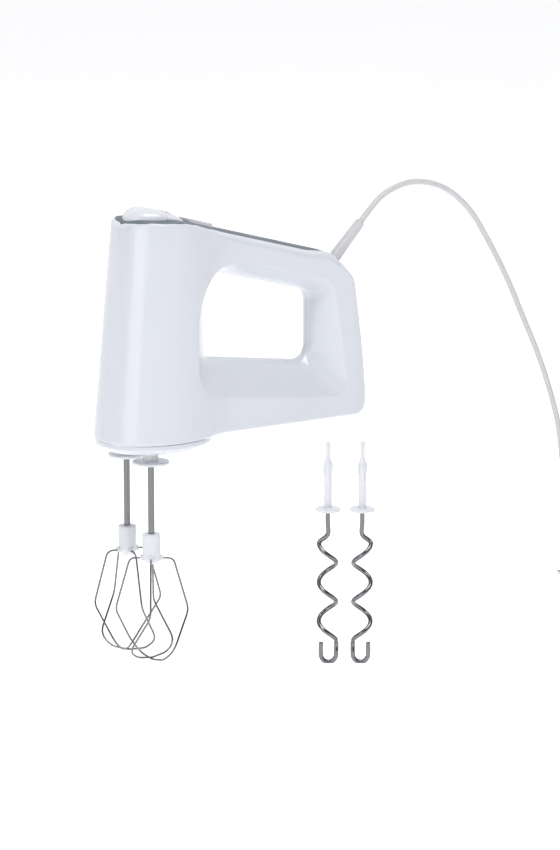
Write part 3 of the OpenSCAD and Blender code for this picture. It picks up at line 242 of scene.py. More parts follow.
def side_half(x, z):
    """Half width of the finished side: body_half averaged along x under a bell curve, so that no
    crease is left. Its width grows from nothing, 4 mm behind the column's middle, to 7 mm over
    the next 22 mm, and shrinks to nothing again over the 20 mm before x = 168."""
    x, z = np.asarray(x, float), np.asarray(z, float)
    c = column_at(z)[0]
    wide = 7.0 * np.clip((x - c - 4) / 22, 0, 1) * np.clip((168 - x) / 20, 0, 1)
    step = np.linspace(-2, 2, 17)
    bell = np.exp(-step ** 2 / 2)
    parts = np.stack([body_half(x + wide * k, z) * b for k, b in zip(step, bell)])
    return parts.sum(0) / bell.sum()


def nose_reach(y, c, s):
    """Reach along a direction (c, s) from MIDDLE to where the column's front is y wide each side,
    found by stepping: the front's x at the height reached so far gives the next reach."""
    guess = FRONT_REACH / np.maximum(-c + FRONT_SLOPE * s, 1e-3)
    reach = np.broadcast_to(guess, np.broadcast_shapes(y.shape, c.shape)).copy()
    for _ in range(14):
        centre, a, b = column_at(MIDDLE[1] + reach * s)
        front = centre - a * np.maximum(1 - np.clip(y / b, 0, 1) ** ROUND, 0) ** (1 / ROUND)
        reach = (front - MIDDLE[0]) / np.minimum(c, -1e-3)
    return reach


def panel_line(x):
    """Height of the handle's top line."""
    return TOP + 0.6 - SLOPE * x


# Corners (x, z, radius) of the side view, of the opening at the centre plane, and of its edge.
SIDE = [(-52, 8, 0.6), (197, 8, 14), (179.6, 121.4, 15), (158.4, 144.4, 20),
        (3, 185, 40), (-24, 185, 16), (-34, 180, 3), (-50.8, 50, 60)]
HOLE_MID = [(40, 68, 10), (144.5, 54.5, 12), (146, 111.6, 12), (39, 139.5, 14)]
HOLE_RIM = [(15, 41.5, 24), (171.5, 24.5, 12), (157.3, 120.7, 14), (17.5, 161, 50)]
MIDDLE = np.array([95.0, 94.0])


def outline(corners, arc=14, step=1.5):
    """A rounded outline: an arc at each corner, then points every step along the side after it."""
    k = len(corners)
    pts = []
    for i in range(k):
        a, p, b = (np.array(corners[(i + j) % k][:2], float) for j in (-1, 0, 1))
        u, v = (a - p) / np.linalg.norm(a - p), (b - p) / np.linalg.norm(b - p)
        half = math.acos(np.clip(u @ v, -1, 1)) / 2
        r = corners[i][2]
        centre = p + (u + v) / np.linalg.norm(u + v) * r / math.sin(half)
        s, e = p + u * r / math.tan(half) - centre, p + v * r / math.tan(half) - centre
        start = math.atan2(s[1], s[0])
        sweep = (math.atan2(e[1], e[0]) - start + math.pi) % (2 * math.pi) - math.pi
        t = start + sweep * np.linspace(0, 1, arc)
        pts.append(centre + r * np.stack([np.cos(t), np.sin(t)], 1))
    out = []
    for i in range(k):
        s, e = pts[i][-1], pts[(i + 1) % k][0]
        n = max(2, int(np.linalg.norm(e - s) / step))
        out += [pts[i], s + (e - s) * (np.arange(1, n) / n)[:, None]]
    return np.concatenate(out)


def polar(corners):
    """A rounded outline as a function: the reach from MIDDLE in each direction."""
    p = outline(corners) - MIDDLE
    a, r = np.arctan2(p[:, 1], p[:, 0]) % (2 * np.pi), np.linalg.norm(p, axis=1)
    order = np.argsort(a)
    a, r = a[order], r[order]
    around = np.concatenate([a - 2 * np.pi, a, a + 2 * np.pi])
    return lambda q: np.interp(q % (2 * np.pi), around, np.tile(r, 3))


def edge_distance(points, corners):
    """Distance of each point from the nearest stretch of an outline."""
    o = outline(corners, 8, 6.0)
    a, b = o, np.roll(o, -1, 0)
    ab, p = b - a, points[..., None, :]
    t = np.clip(np.einsum("...ij,ij->...i", p - a, ab) / np.sum(ab * ab, 1), 0, 1)
    return np.min(np.linalg.norm(p - (a + t[..., None] * ab), axis=-1), axis=-1)


def panel_half(x):
    """Half width of the top panel at x: the column's top outline drawn in, then the handle strip
    with a rounded rear end, joined by a soft maximum."""
    c, a, b = column_at(TOP)
    u = np.clip(np.abs(x - (c - 4)) / (a - 7), 0, 1)
    ring = (b - 3) * np.maximum(1 - u ** ROUND, 0) ** (1 / ROUND)
    end = np.clip((x - (PANEL_END - STRIP_HALF)) / STRIP_HALF, 0, 1)
    strip = np.where(x > 2, STRIP_HALF * np.sqrt(1 - end ** 2), 0)
    k = 6
    soft = (ring + strip + np.sqrt((ring - strip) ** 2 + k ** 2)) / 2 - k ** 2 / (4 * STRIP_HALF)
    behind = np.maximum(soft * (end == 0) + strip * (end > 0), strip)
    return np.where(x > PANEL_END, 0, np.where(x > 8, behind, ring))


def top_fall(x, y):
    """How far the crowned top lies below its centre line: a shallow parabola over the column,
    a tighter one along the handle that goes on straight beyond the panel, mixed between."""
    y = np.abs(y)
    beyond = STRIP_FALL + 0.2 * (y - STRIP_HALF)
    strip = np.where(y < STRIP_HALF, STRIP_FALL * (y / STRIP_HALF) ** 2, beyond)
    mix = np.clip((x - 6) / 54, 0, 1)
    mix = mix * mix * (3 - 2 * mix)
    return RIM_FALL * (y / RIM_HALF) ** 2 * (1 - mix) + strip * mix


def crown_ends(x):
    """Shares of the crown at x: one that rises over 8 mm from the nose, and one that runs out
    over the 25 mm before x = 160."""
    return np.clip((x + 34) / 8, 0, 1), np.clip((160 - x) / 25, 0, 1)


def directions():
    """Angles from MIDDLE to the points of the side outline, sorted, near doubles left out."""
    away = outline(SIDE, 16, 1.6) - MIDDLE
    angle = np.sort(np.unique(np.round(np.arctan2(away[:, 1], away[:, 0]) % (2 * np.pi), 5)))
    return angle[np.concatenate([[True], np.diff(angle) > 0.004])]


def along(ray, reach):
    """Points (x, z) at each reach from MIDDLE along the rays."""
    return MIDDLE + reach[..., None] * ray[:, None, :]


def flared_wall(mid, rim, half_rim):
    """The opening's wall as (reach, half width), from the centre plane to just short of the rim:
    at a share s of the rim's half width the reach has gone from mid to rim by a hyperbola, the
    root of s squared and FLARE_BEND squared, less FLARE_BEND, scaled to end at one."""
    s = np.linspace(0, 0.95, 18)[None]
    full = math.sqrt(1 + FLARE_BEND ** 2) - FLARE_BEND
    law = (np.sqrt(s ** 2 + FLARE_BEND ** 2) - FLARE_BEND) / full
    return mid + (rim - mid) * law, half_rim * s


def side_face(ray, rim, out, whole, settings):
    """The side face as (reach, half width, points at its outer end), its steps crowding towards
    the edge as a sine. Within r of the edge it falls as a quarter round, r less the root of r
    squared and (r - distance) squared. r is the column's edge along the top, mixed into the
    handle's behind it, and the lower edges' elsewhere; whole tells where the face has an edge."""
    reach = rim + (out - rim) * np.sin(np.linspace(0.025, 1, 56) * np.pi / 2)[None]
    q = along(ray, reach)
    half = side_half(q[..., 0], q[..., 1])
    x, z = q[:, -1:, 0], q[:, -1:, 1]
    most = half[:, -1:] * whole * 0.5
    top = (np.abs(z - panel_line(x)) < 6) & (x > -30)
    r = np.minimum(np.where(top, settings.top_edge, settings.edge), most)
    handle = np.clip((x - 30) / 30, 0, 1)
    r = np.where(top, r + handle * (np.minimum(settings.handle_edge, most) - r), r)
    r = np.maximum(r, 0.01)
    last = np.arange(q.shape[1]) == q.shape[1] - 1
    e = np.where(last & whole, 0, edge_distance(q, SIDE))
    fall = np.where(e < r, r - np.sqrt(np.maximum(r ** 2 - (r - e) ** 2, 0)), 0)
    return reach, np.maximum(half - fall, 0), q[:, -1:]


def shell_half(settings):
    """The left shell's outer skin as one ring-shaped grid about the opening. Each column of the
    grid stays in one direction from MIDDLE. From inside out it runs from the centre plane up the
    flared wall of the opening, turns the rim on a parabola, goes across the side face, and ends
    on the centre plane, or at the top panel's border where the panel is let in."""
    angle = directions()
    c, sn = np.cos(angle)[:, None], np.sin(angle)[:, None]
    ray = np.concatenate([c, sn], 1)
    mid, rim, border = (polar(k)(angle)[:, None] for k in (HOLE_MID, HOLE_RIM, SIDE))
    half_rim = side_half(*np.moveaxis(along(ray, rim)[:, 0], -1, 0))[:, None]
    # Ahead of the column the side ends where the nose is NOSE wide each side.
    ahead = c < -0.25
    out = np.where(ahead, np.minimum(border, nose_reach(np.full_like(c, NOSE), c, sn)), border)
    whole = np.abs(out - border) < TINY

    flare_r, flare_y = flared_wall(mid, rim, half_rim)
    side_r, side_y, end = side_face(ray, rim, out, whole, settings)
    t = np.linspace(0, 1, 7)[None, 1:-1]
    start, corner, stop = (1 - t) ** 2, 2 * t * (1 - t), t ** 2
    turn_r = start * flare_r[:, -1:] + corner * rim + stop * side_r[:, :1]
    turn_y = start * flare_y[:, -1:] + corner * half_rim + stop * side_y[:, :1]

    x_end, z_end = end[..., 0], end[..., 1]
    inlet = (z_end > PANEL_LOW) & (x_end >= PANEL_FRONT) & (x_end <= PANEL_END)
    end_y = np.minimum(np.where(inlet, panel_half(x_end) + 0.12, 0), side_y[:, -1:])
    w = 1 - (1 - np.linspace(0, 1, 15)[None, 1:]) ** 1.5
    wall_y = side_y[:, -1:] + (np.maximum(end_y, 0.004) - side_y[:, -1:]) * w
    wall_r = np.where(ahead, np.minimum(border, nose_reach(wall_y, c, sn)), out)

    xz = along(ray, np.concatenate([flare_r, turn_r, side_r, wall_r], 1))
    y = np.concatenate([flare_y, turn_y, side_y, wall_y], 1)
    p = np.stack([xz[..., 0], -y, xz[..., 1]], -1)
    # The crown lowers what lies near the top line, fading out 25 mm below it.
    near = np.clip(1 - (np.minimum(panel_line(p[..., 0]), TOP) - p[..., 2]) / 25, 0, 1)
    front, tail = crown_ends(p[..., 0])
    p[..., 2] -= top_fall(p[..., 0], p[..., 1]) * near * front * tail
    # The last ring turns down into the body at the panel and 1 mm inwards elsewhere, and the
    # first ring starts 1 mm behind the opening's wall.
    inward = np.stack([-ray[:, 0], np.zeros(len(ray)), -ray[:, 1]], -1)[:, None, :]
    lip = np.where((end_y > 0.2)[..., None], p[:, -1:] - np.array([0, 0, LIP]), p[:, -1:] + inward)
    return np.concatenate([p[:, :1] - inward, p, lip], 1)


# ---------------------------------------------------------------- materials

def material(name, color, rough, **extra):
    """A principled material and its node tree; the constants sit on the shader's own sockets."""
    mat = bpy.data.materials.new(name)
    mat.use_nodes = True
    bsdf = mat.node_tree.nodes["Principled BSDF"]
    bsdf.inputs["Base Color"].default_value = (*color, 1)
    bsdf.inputs["Roughness"].default_value = rough
    for key, value in extra.items():
        bsdf.inputs[key.replace("_", " ")].default_value = value
    return mat, mat.node_tree, bsdf


def add_noise(tree, scale, detail, vector=None):
    """Fractal noise on object coordinates."""
    coord = tree.nodes.new("ShaderNodeTexCoord")
    noise = tree.nodes.new("ShaderNodeTexNoise")
    noise.inputs["Scale"].default_value = scale
    noise.inputs["Detail"].default_value = detail
    if vector is None:
        tree.links.new(coord.outputs["Object"], noise.inputs["Vector"])
    else:
        mapping = tree.nodes.new("ShaderNodeMapping")
        mapping.inputs["Scale"].default_value = vector
        tree.links.new(coord.outputs["Object"], mapping.inputs["Vector"])
        tree.links.new(mapping.outputs["Vector"], noise.inputs["Vector"])
    return noise


def vary(tree, bsdf, noise, low, high, socket):
    """Noise turned into a colour or a value between low and high."""
    ramp = tree.nodes.new("ShaderNodeValToRGB")
    ramp.color_ramp.elements[0].position, ramp.color_ramp.elements[1].position = 0.3, 0.7
    if isinstance(low, (int, float)):
        low, high = (low,) * 3, (high,) * 3
    ramp.color_ramp.elements[0].color = (*low, 1)
    ramp.color_ramp.elements[1].color = (*high, 1)
    tree.links.new(noise.outputs["Fac"], ramp.inputs["Fac"])
    tree.links.new(ramp.outputs["Color"], bsdf.inputs[socket])


def bump(tree, bsdf, noise, strength, distance):
    """A texture's value as a height of up to distance metres, felt through the shading only."""
    node = tree.nodes.new("ShaderNodeBump")
    node.inputs["Strength"].default_value = strength
    node.inputs["Distance"].default_value = distance
    tree.links.new(noise.outputs["Fac"], node.inputs["Height"])
    tree.links.new(node.outputs["Normal"], bsdf.inputs["Normal"])


def moulded(name, color, rough, mottle=0.02, grain=0.0, coat=0.0):
    """Moulded plastic: faint flow-line mottle in colour and gloss, and a fine surface grain."""
    mat, tree, bsdf = material(name, color, rough, Specular_IOR_Level=0.5, Coat_Weight=coat,
                               Coat_Roughness=0.06)
    c = np.array(color)
    dull, bright = (tuple(np.clip(c + step, 0, 1)) for step in (-mottle, mottle * 0.6))
    vary(tree, bsdf, add_noise(tree, 9, 3), dull, bright, "Base Color")
    vary(tree, bsdf, add_noise(tree, 60, 4), rough * 0.85, rough * 1.2, "Roughness")
    if grain:
        bump(tree, bsdf, add_noise(tree, 2600, 3), grain, 0.00004)
    else:
        bump(tree, bsdf, add_noise(tree, 35, 2), 0.02, 0.0004)
    return mat


def metal(name, color, rough, stretch=None, streak=0.06):
    """Metal with fine drawing lines or polishing haze: noise stretched along one direction."""
    mat, tree, bsdf = material(name, color, rough, Metallic=1.0)
    c = np.array(color)
    dull, bright = tuple(c * (1 - streak)), tuple(np.clip(c * (1 + streak * 0.4), 0, 1))
    vary(tree, bsdf, add_noise(tree, 400, 4, stretch), dull, bright, "Base Color")
    vary(tree, bsdf, add_noise(tree, 900, 3, stretch), rough * 0.7, rough * 1.4, "Roughness")
    bump(tree, bsdf, add_noise(tree, 1500, 3, stretch), 0.05, 0.00002)
    return mat


def banded(name, dark, light, scale, axis, metallic, rough):
    """Stacked sheet or wound wire: a wave of bands square to one axis."""
    mat, tree, bsdf = material(name, light, rough, Metallic=metallic)
    coord = tree.nodes.new("ShaderNodeTexCoord")
    wave = tree.nodes.new("ShaderNodeTexWave")
    wave.bands_direction = axis
    wave.inputs["Scale"].default_value = scale
    wave.inputs["Distortion"].default_value = 0.6
    wave.inputs["Detail"].default_value = 1.0
    tree.links.new(coord.outputs["Object"], wave.inputs["Vector"])
    vary(tree, bsdf, wave, dark, light, "Base Color")
    bump(tree, bsdf, wave, 0.5, 0.0003)
    return mat


def make_materials(s):
    """All finishes, from the colours in the settings."""
    shell, panel, cord = tuple(s.shell_color), tuple(s.panel_color), tuple(s.cord_color)
    white = tuple(s.trim_color)
    MATERIALS.update(
        shell=moulded("glossy_white_shell", shell, 0.22, 0.012, coat=0.35),
        panel=moulded("satin_grey_panel", panel, 0.38, 0.015, grain=0.15),
        white_trim=moulded("glossy_white_trim", white, 0.25, 0.01, coat=0.2),
        inner_plastic=moulded("matte_moulding", (0.72, 0.72, 0.69), 0.5, 0.03, grain=0.2),
        gear_plastic=moulded("acetal", (0.74, 0.74, 0.71), 0.35, 0.03),
        dark_plastic=moulded("black_moulding", (0.03, 0.03, 0.034), 0.45, 0.006, grain=0.25),
        board=moulded("circuit_board", (0.03, 0.16, 0.06), 0.4, 0.015, grain=0.1),
        cord_pvc=moulded("soft_pvc", cord, 0.42, 0.012, grain=0.12),
        # The chrome's base colour is set dark, about 0.2, as painted shade: it stands in for the dark
        # surroundings that bright plating would reflect.
        chrome=metal("chrome_plate", (0.20, 0.205, 0.215), 0.10, None, 0.08),
        steel=metal("drawn_steel", (0.56, 0.57, 0.59), 0.28, (1, 1, 0.04)),
        laminations=banded("steel_laminations", (0.16, 0.16, 0.17), (0.36, 0.37, 0.38), 900, "Z",
                           1.0, 0.4),
        bronze=metal("sintered_bronze", (0.55, 0.37, 0.18), 0.36),
        copper=banded("copper_winding", (0.30, 0.12, 0.04), (0.68, 0.30, 0.13), 700, "DIAGONAL",
                      1.0, 0.3),
        bracket=metal("cast_aluminium", (0.62, 0.63, 0.65), 0.42),
    )


def finish_cad_nodes():
    """Every CAD node that stays visible or lies inside takes the material of its own slot."""
    for sub in frame["record"]["subparts"]:
        node = frame["nodes"][sub["node"]]
        node.data.materials.clear()
        node.data.materials.append(MATERIALS[sub["material_slot"]])


# ---------------------------------------------------------------- settings

def millimetres(name, text, value, low, high):
    """A length setting in millimetres."""
    return bpy.props.FloatProperty(name=name, description=text, default=value, min=low, max=high,
                                   precision=2)


def colour(name, text, value):
    """A colour setting."""
    return bpy.props.FloatVectorProperty(name=name, description=text, default=value, min=0, max=1,
                                         subtype="COLOR")


class MixerBody(bpy.types.PropertyGroup):
    """Edges and colours of the housing."""
    edge: millimetres("Edge", "Rounding of the lower and rear edges, mm", 3.0, 0.5, 8)
    top_edge: millimetres("Column edge", "Rounding of the column's top edge, mm", 1.6, 0.5, 6)
    handle_edge: millimetres("Handle edge", "Rounding of the handle's top edges, mm", 6.0, 1, 9)
    shell_color: colour("Shell", "Colour of the shells", (0.65, 0.67, 0.725))
    panel_color: colour("Panel", "Colour of the top panel", (0.105, 0.13, 0.16))
    trim_color: colour("Trim", "Colour of the buttons, shanks and hubs", (0.70, 0.715, 0.75))
    cord_color: colour("Cord", "Colour of the cord and plug", (0.57, 0.57, 0.58))


class MixerTools(bpy.types.PropertyGroup):
    """Sizes of the whisks and dough hooks."""
    wire: millimetres("Wire radius", "Radius of the whisk wire, mm", 0.78, 0.5, 1)
    cage: millimetres("Cage radius", "Widest radius of a whisk, mm", 29.3, 20, 30)
    hook_rod: millimetres("Hook rod radius", "Radius of the dough hooks' rod, mm", 1.9, 1.2, 2.4)


# ---------------------------------------------------------------- operators

class MIXER_OT_materials(bpy.types.Operator):
    """Makes the finishes and gives each mechanical part the one its slot names."""
    bl_idname = "mixer.materials"
    bl_label = "Finishes"

    def execute(self, context):
        make_materials(context.scene.mixer_body)
        finish_cad_nodes()
        return {"FINISHED"}


class MIXER_OT_shells(bpy.types.Operator):
    """Builds the two body shells."""
    bl_idname = "mixer.shells"
    bl_label = "Body shells"

    def execute(self, context):
        grid = shell_half(context.scene.mixer_body)
        for side, name in ((1, "left"), (-1, "right")):
            p = grid * np.array([1, side, 1])
            # A hair of clearance makes the moulding seam on the centre plane.
            p[..., 1] -= side * np.where(np.abs(p[..., 1]) < 0.06, 0.07, 0)
            cols, rows = p.shape[:2]
            pts = np.swapaxes(p, 0, 1)
            faces = np.array(grid_faces(rows, cols))
            if side > 0:
                faces = faces[:, ::-1]
            piece = new_piece(name + "_shell", in_hand(pts), faces.tolist(), "body", "shell",
                              name + "_housing")
            wall = piece.modifiers.new("wall", "SOLIDIFY")
            wall.thickness = 0.0018
            wall.offset = -1
            wall.use_even_offset = False
        return {"FINISHED"}


def solid_between(top, low):
    """A closed plate from two equal grids: the upper faces, the lower faces and the border."""
    rows, cols = top.shape[:2]
    n = rows * cols
    f = np.array(grid_faces(rows, cols, False))
    idx = np.arange(n).reshape(rows, cols)
    b = np.concatenate([idx[:, 0], idx[-1, 1:], idx[-2::-1, -1], idx[0, -2:0:-1]])
    c = np.roll(b, -1)
    side = np.stack([b, c, c + n, b + n], -1)
    faces = np.concatenate([f, f[:, ::-1] + n, side]).tolist()
    return np.concatenate([top.reshape(-1, 3), low.reshape(-1, 3)]), faces


def ring_solid(rings):
    """A stack of rings with both ends closed, as (points, faces)."""
    return rings, closed_rings(rings)


def cut(piece, points, faces):
    """Takes a closed cutter, given in column millimetres, out of a piece, and keeps the result."""
    mesh = bpy.data.meshes.new("cutter")
    mesh.from_pydata(in_hand(points).reshape(-1, 3).tolist(), [], [list(f) for f in faces])
    cutter = bpy.data.objects.new("cutter", mesh)
    bpy.context.scene.collection.objects.link(cutter)
    tool = piece.modifiers.new("cut", "BOOLEAN")
    tool.object, tool.operation, tool.solver = cutter, "DIFFERENCE", "EXACT"
    done = bpy.data.meshes.new_from_object(piece.evaluated_get(bpy.context.evaluated_depsgraph_get()))
    piece.modifiers.remove(tool)
    old, piece.data = piece.data, done
    bpy.data.meshes.remove(old)
    bpy.data.objects.remove(cutter)
    bpy.data.meshes.remove(mesh)


def cut_through(piece, plan):
    """Takes an upright prism of a plan outline out of the top."""
    cut(piece, *ring_solid(stacked(plan, [1, 1], [150, 200], np.zeros(2))))


def sharpen(piece, degrees=38):
    """Edges that turn more than so many degrees stay crisp."""
    piece.data.set_sharp_from_angle(angle=math.radians(degrees))


def stacked(outline_xy, scales, heights, centre):
    """Rings: one plan outline drawn in towards a centre by each scale, at each height."""
    o = np.asarray(outline_xy) - centre
    k = np.asarray(scales)[:, None, None]
    xy = o[None] * k + centre
    h = np.broadcast_to(np.asarray(heights)[:, None], xy.shape[:2])
    return np.concatenate([xy, h[..., None]], -1)


def top_height(x, y):
    """The top's surface: the side outline's upper line at x, lowered by the crown."""
    line = outline(SIDE, 24, 1.0)
    line = line[(line[:, 1] > PANEL_LOW) & (line[:, 0] > -34.5)]
    line = line[np.argsort(line[:, 0])]
    front, tail = crown_ends(x)
    return np.interp(x, line[:, 0], line[:, 1]) - top_fall(x, y) * tail * front


class MIXER_OT_panel(bpy.types.Operator):
    """Builds the grey panel let into the top of both shells, with its three cut-outs."""
    bl_idname = "mixer.panel"
    bl_label = "Top panel"

    def execute(self, context):
        along, across = 200, 41
        t = (1 - np.cos(np.linspace(0, np.pi, along))) / 2
        x = PANEL_FRONT + (PANEL_END - PANEL_FRONT) * t
        h = np.maximum(panel_half(x), 0.08)
        v = np.sin(np.linspace(-1, 1, across) * np.pi / 2)
        X, Y = np.repeat(x[:, None], across, 1), h[:, None] * v[None]
        # The rim turns down over its last 0.6 mm as a parabola 0.35 mm deep.
        inside = np.minimum((1 - np.abs(v))[None] * h[:, None], 0.6)
        z = top_height(X, Y) + 0.1 - 0.35 * (1 - inside / 0.6) ** 2
        top = np.stack([X, Y, z], -1)
        pts, faces = solid_between(top, top - np.array([0, 0, 1.8]))
        piece = new_piece("grey_panel", in_hand(pts), faces, "body", "panel", "top_panel")
        cut_through(piece, half_oval(26.3, 21.25, -2.0))
        cut_through(piece, SLIDER_SLOT)
        cut_through(piece, turbo_plan(0.25))
        sharpen(piece)
        return {"FINISHED"}


# Corners of the slot that the speed slider runs in, in plan.
SLIDER_SLOT = np.array([[0.45, -2.5], [22.05, -2.5], [22.05, 2.5], [0.45, 2.5]])
# The speed slider's rib: front end, length and half width, and its grip ridges' number and
# half height.
RIB_START, RIB_L, RIB_HALF, RIDGES, RIDGE_H = 0.75, 13, 2.2, 5, 0.3
TURBO_MID, TURBO_L, TURBO_W = 37.45, 24.0, 17.0


def half_oval(length, half_width, split, sign=-1):
    """Half of an oval in plan: its round side from the split line out to length, its flat side
    on the split line. sign -1 reaches forwards, +1 backwards."""
    a = np.linspace(-0.5, 0.5, 56) * np.pi
    pts = np.stack([split + sign * length * np.cos(a), -sign * half_width * np.sin(a)], 1)
    y_flat = np.linspace(pts[-1, 1], pts[0, 1], 17)[1:-1]
    return np.concatenate([pts, np.stack([np.full_like(y_flat, split), y_flat], 1)])


def turbo_plan(grow):
    """Rounded rectangle of the turbo button in plan, grown all round: one corner's arc, turned
    to each of the four corners."""
    r = 3 + grow
    cx, cy = TURBO_L / 2 + grow - r, TURBO_W / 2 + grow - r
    a = np.linspace(0, np.pi / 2, 8)
    corner = np.stack([np.cos(a), np.sin(a)], 1) * r
    quads = [corner + [cx, cy], corner @ [[0, 1], [-1, 0]] + [-cx, cy],
             -corner + [-cx, -cy], corner @ [[0, -1], [1, 0]] + [cx, -cy]]
    return np.concatenate(quads) + [TURBO_MID, 0]


def dome(plan, centre, foot, base, height):
    """A cap: straight skirt from foot to base, then rings that draw in as half + half cos(a)
    while they rise as height sin(a), closed by a faint crown."""
    a = np.linspace(0, np.pi / 2, 14)[1:]
    crown_in, crown_up = np.array([0.75, 0.5, 0.25, 0.04]), np.array([0.08, 0.14, 0.18, 0.2])
    scale = np.concatenate([[1, 1], 0.5 + 0.5 * np.cos(a), 0.5 * crown_in])
    z = np.concatenate([[foot, base], base + height * np.sin(a), base + height + crown_up])
    return stacked(plan, scale, z, centre)


def knob_rings():
    """The eject button: a dome whose front stays high and whose back falls as the square of the
    distance behind x = -19, more so the higher the point."""
    base, height, split = 183.2, 9.3, -2.2
    rings = dome(half_oval(25.9, 20.9, split), np.array([split, 0]), 177, base, height)
    behind = 0.008 * np.clip(rings[..., 0] + 19, 0, None) ** 2
    rings[..., 2] -= behind * np.clip((rings[..., 2] - base) / height, 0, 1)
    return rings


def cover_rings():
    """The control cover: a low dome that slopes back with the handle."""
    split = -1.9
    rings = dome(half_oval(25.6, 20.9, split, 1), np.array([split, 0]), 178, 183.8, 5.2)
    rings[..., 2] -= SLOPE * (rings[..., 0] - split)
    return rings


def rib_solid():
    """The speed slider: a rib whose top follows the slope, with soft grip ridges as a cosine of
    the length, ends that round off as a sixth power and sides that do as a fourth."""
    x = np.linspace(RIB_START, RIB_START + RIB_L, 61)
    ridges = RIDGE_H * np.cos((x - RIB_START) / RIB_L * 2 * RIDGES * np.pi)
    ends = 1.1 * np.abs((x - RIB_START - RIB_L / 2) / (RIB_L / 2)) ** 6
    top = 190.0 - SLOPE * x + ridges - ends
    X, Y = np.meshgrid(x, np.linspace(-RIB_HALF, RIB_HALF, 13), indexing="ij")
    grid = np.stack([X, Y, top[:, None] - 0.9 * np.abs(Y / RIB_HALF) ** 4], -1)
    low = grid.copy()
    low[..., 2] = 168
    return solid_between(grid, low)


def turbo_rings():
    """The turbo button: rings of its plan drawn in by share and raised above the top's surface,
    with a bevelled rim and a faintly dished middle."""
    share = np.array([1, 1, 0.995, 0.97, 0.93, 0.88, 0.7, 0.5, 0.3, 0.1, 0.01])
    up = np.array([-8, 1.5, 2.0, 2.4, 2.6, 2.55, 2.3, 2.1, 1.95, 1.88, 1.87])
    rings = stacked(turbo_plan(0), share, up, np.array([TURBO_MID, 0]))
    rings[..., 2] += top_height(rings[..., 0], rings[..., 1] * 0.5)
    return rings


class MIXER_OT_controls(bpy.types.Operator):
    """Builds the eject button, the control cover, the speed slider and the turbo button."""
    bl_idname = "mixer.controls"
    bl_label = "Controls"

    def execute(self, context):
        for name, (pts, faces), body, node, width in (
                ("eject_knob", ring_solid(knob_rings()), "ejector", "eject_button", 0.7),
                ("speed_cover", ring_solid(cover_rings()), "body", "control_cover", 0.4),
                ("speed_rib", rib_solid(), "speed_control", "speed_slider", 0.3),
                ("turbo_key", ring_solid(turbo_rings()), "turbo_control", "turbo_button", 0.3)):
            piece = new_piece(name, in_hand(pts), faces, body, "white_trim", node)
            if name == "speed_cover":
                cut_through(piece, SLIDER_SLOT)
            finish_edges(piece, width / 1000)
        return {"FINISHED"}


def finish_edges(piece, width):
    """A bevel of a width in metres along the crisp edges, with flat shading kept beside it."""
    sharpen(piece, 40)
    bevel = piece.modifiers.new("edges", "BEVEL")
    bevel.width, bevel.segments, bevel.limit_method = width, 2, "ANGLE"
    bevel.angle_limit = math.radians(40)
    bevel.harden_normals = True


def base_ring(z, inset):
    """The column's section at its foot, drawn in by inset, as a ring at height z."""
    c, a, b = column_at(SHELL_FOOT)
    t = np.linspace(0, 2 * np.pi, 144, endpoint=False)
    co, si = np.cos(t), np.sin(t)
    x = c + (a - inset) * np.sign(co) * np.abs(co) ** (2 / ROUND)
    y = (b - inset) * np.sign(si) * np.abs(si) ** (2 / ROUND)
    return np.stack([x, y, np.full_like(x, z)], -1)


class MIXER_OT_base(bpy.types.Operator):
    """Builds the chamfered base cover with its two spindle holes."""
    bl_idname = "mixer.base"
    bl_label = "Base cover"

    def execute(self, context):
        # Inset and height, from the middle of the outer face up the chamfer, over the upright rim
        # and back to the middle of the inner face.
        profile = [(30, 0.0), (9.2, 0.0), (7.6, 0.12), (6.6, 0.5), (5.9, 1.1), (1.6, 4.2), (1.25, 4.7),
                   (1.2, 5.6), (1.3, 8.0), (3.9, 8.0), (4.2, 3.2), (9.5, 3.0), (30, 3.0)]
        rings = np.stack([base_ring(z, inset) for inset, z in profile])
        piece = new_piece("base_moulding", in_hand(rings), closed_rings(rings), "body", "shell",
                          "base_cover")
        for y in (-SPINDLE_Y, SPINDLE_Y):
            cut(piece, *lathe([(7, -5), (7, 6)], (SPINDLE_X, y, 0)))
        sharpen(piece, 30)
        return {"FINISHED"}


# The whisks: underside of the disc, foot of the rod, centre of the hub's wire sockets, turn of
# the left whisk at rest, and height of the cage.
DISC_LOW, ROD_END, ARM_Z = -9.7, -66.7, -86.7
LEFT_TURN, CAGE_H = 55.0, 84.0
# A shank's stem radius, and its disc's thickness.
STEM_R, DISC_H = 3.2, 2.2
# Radius of the tiny ring that closes a turned profile on its axis.
AXIS = 0.01


def shank(disc_r, collar_h):
    """Profile of a tool's shank from the underside of its disc (height zero) up: rounded disc,
    collar, stem, cone, neck and knob."""
    low = [(AXIS, 0), (disc_r, 0), (disc_r, DISC_H), (6.4 if collar_h else 3.6, 2.5)]
    mid = [(STEM_R, 2.9)]
    if collar_h:
        mid = [(6.0, 3.0), (6.0, DISC_H + collar_h), (STEM_R, DISC_H + collar_h + 0.4)]
    up = [(STEM_R, 30), (STEM_R, 39.6), (3.0, 40.0), (1.7, 44.4), (1.7, 54.6), (2.05, 56.0),
          (1.9, 56.8), (1.2, 57.1), (AXIS, 57.2)]
    return np.concatenate([rounded_profile(low, 0.75), mid, up])


def ribs(centre):
    """Four keying ribs round a stem: two crossed bars with chamfered corners, 8.7 by 1.4."""
    y, r, chamfer = 0.7, 4.35, 0.2
    plan = np.array([[-r, -y + chamfer], [-r + chamfer, -y], [r - chamfer, -y], [r, -y + chamfer],
                     [r, y - chamfer], [r - chamfer, y], [-r + chamfer, y], [-r, y - chamfer]])
    bar = stacked(plan, [0.9, 1, 1, 0.9], [31.2, 31.7, 39.2, 39.7], np.zeros(2))
    crossed = np.stack([-bar[..., 1], bar[..., 0], bar[..., 2]], -1)
    return [(b + np.asarray(centre), closed_rings(b)) for b in (bar, crossed)]


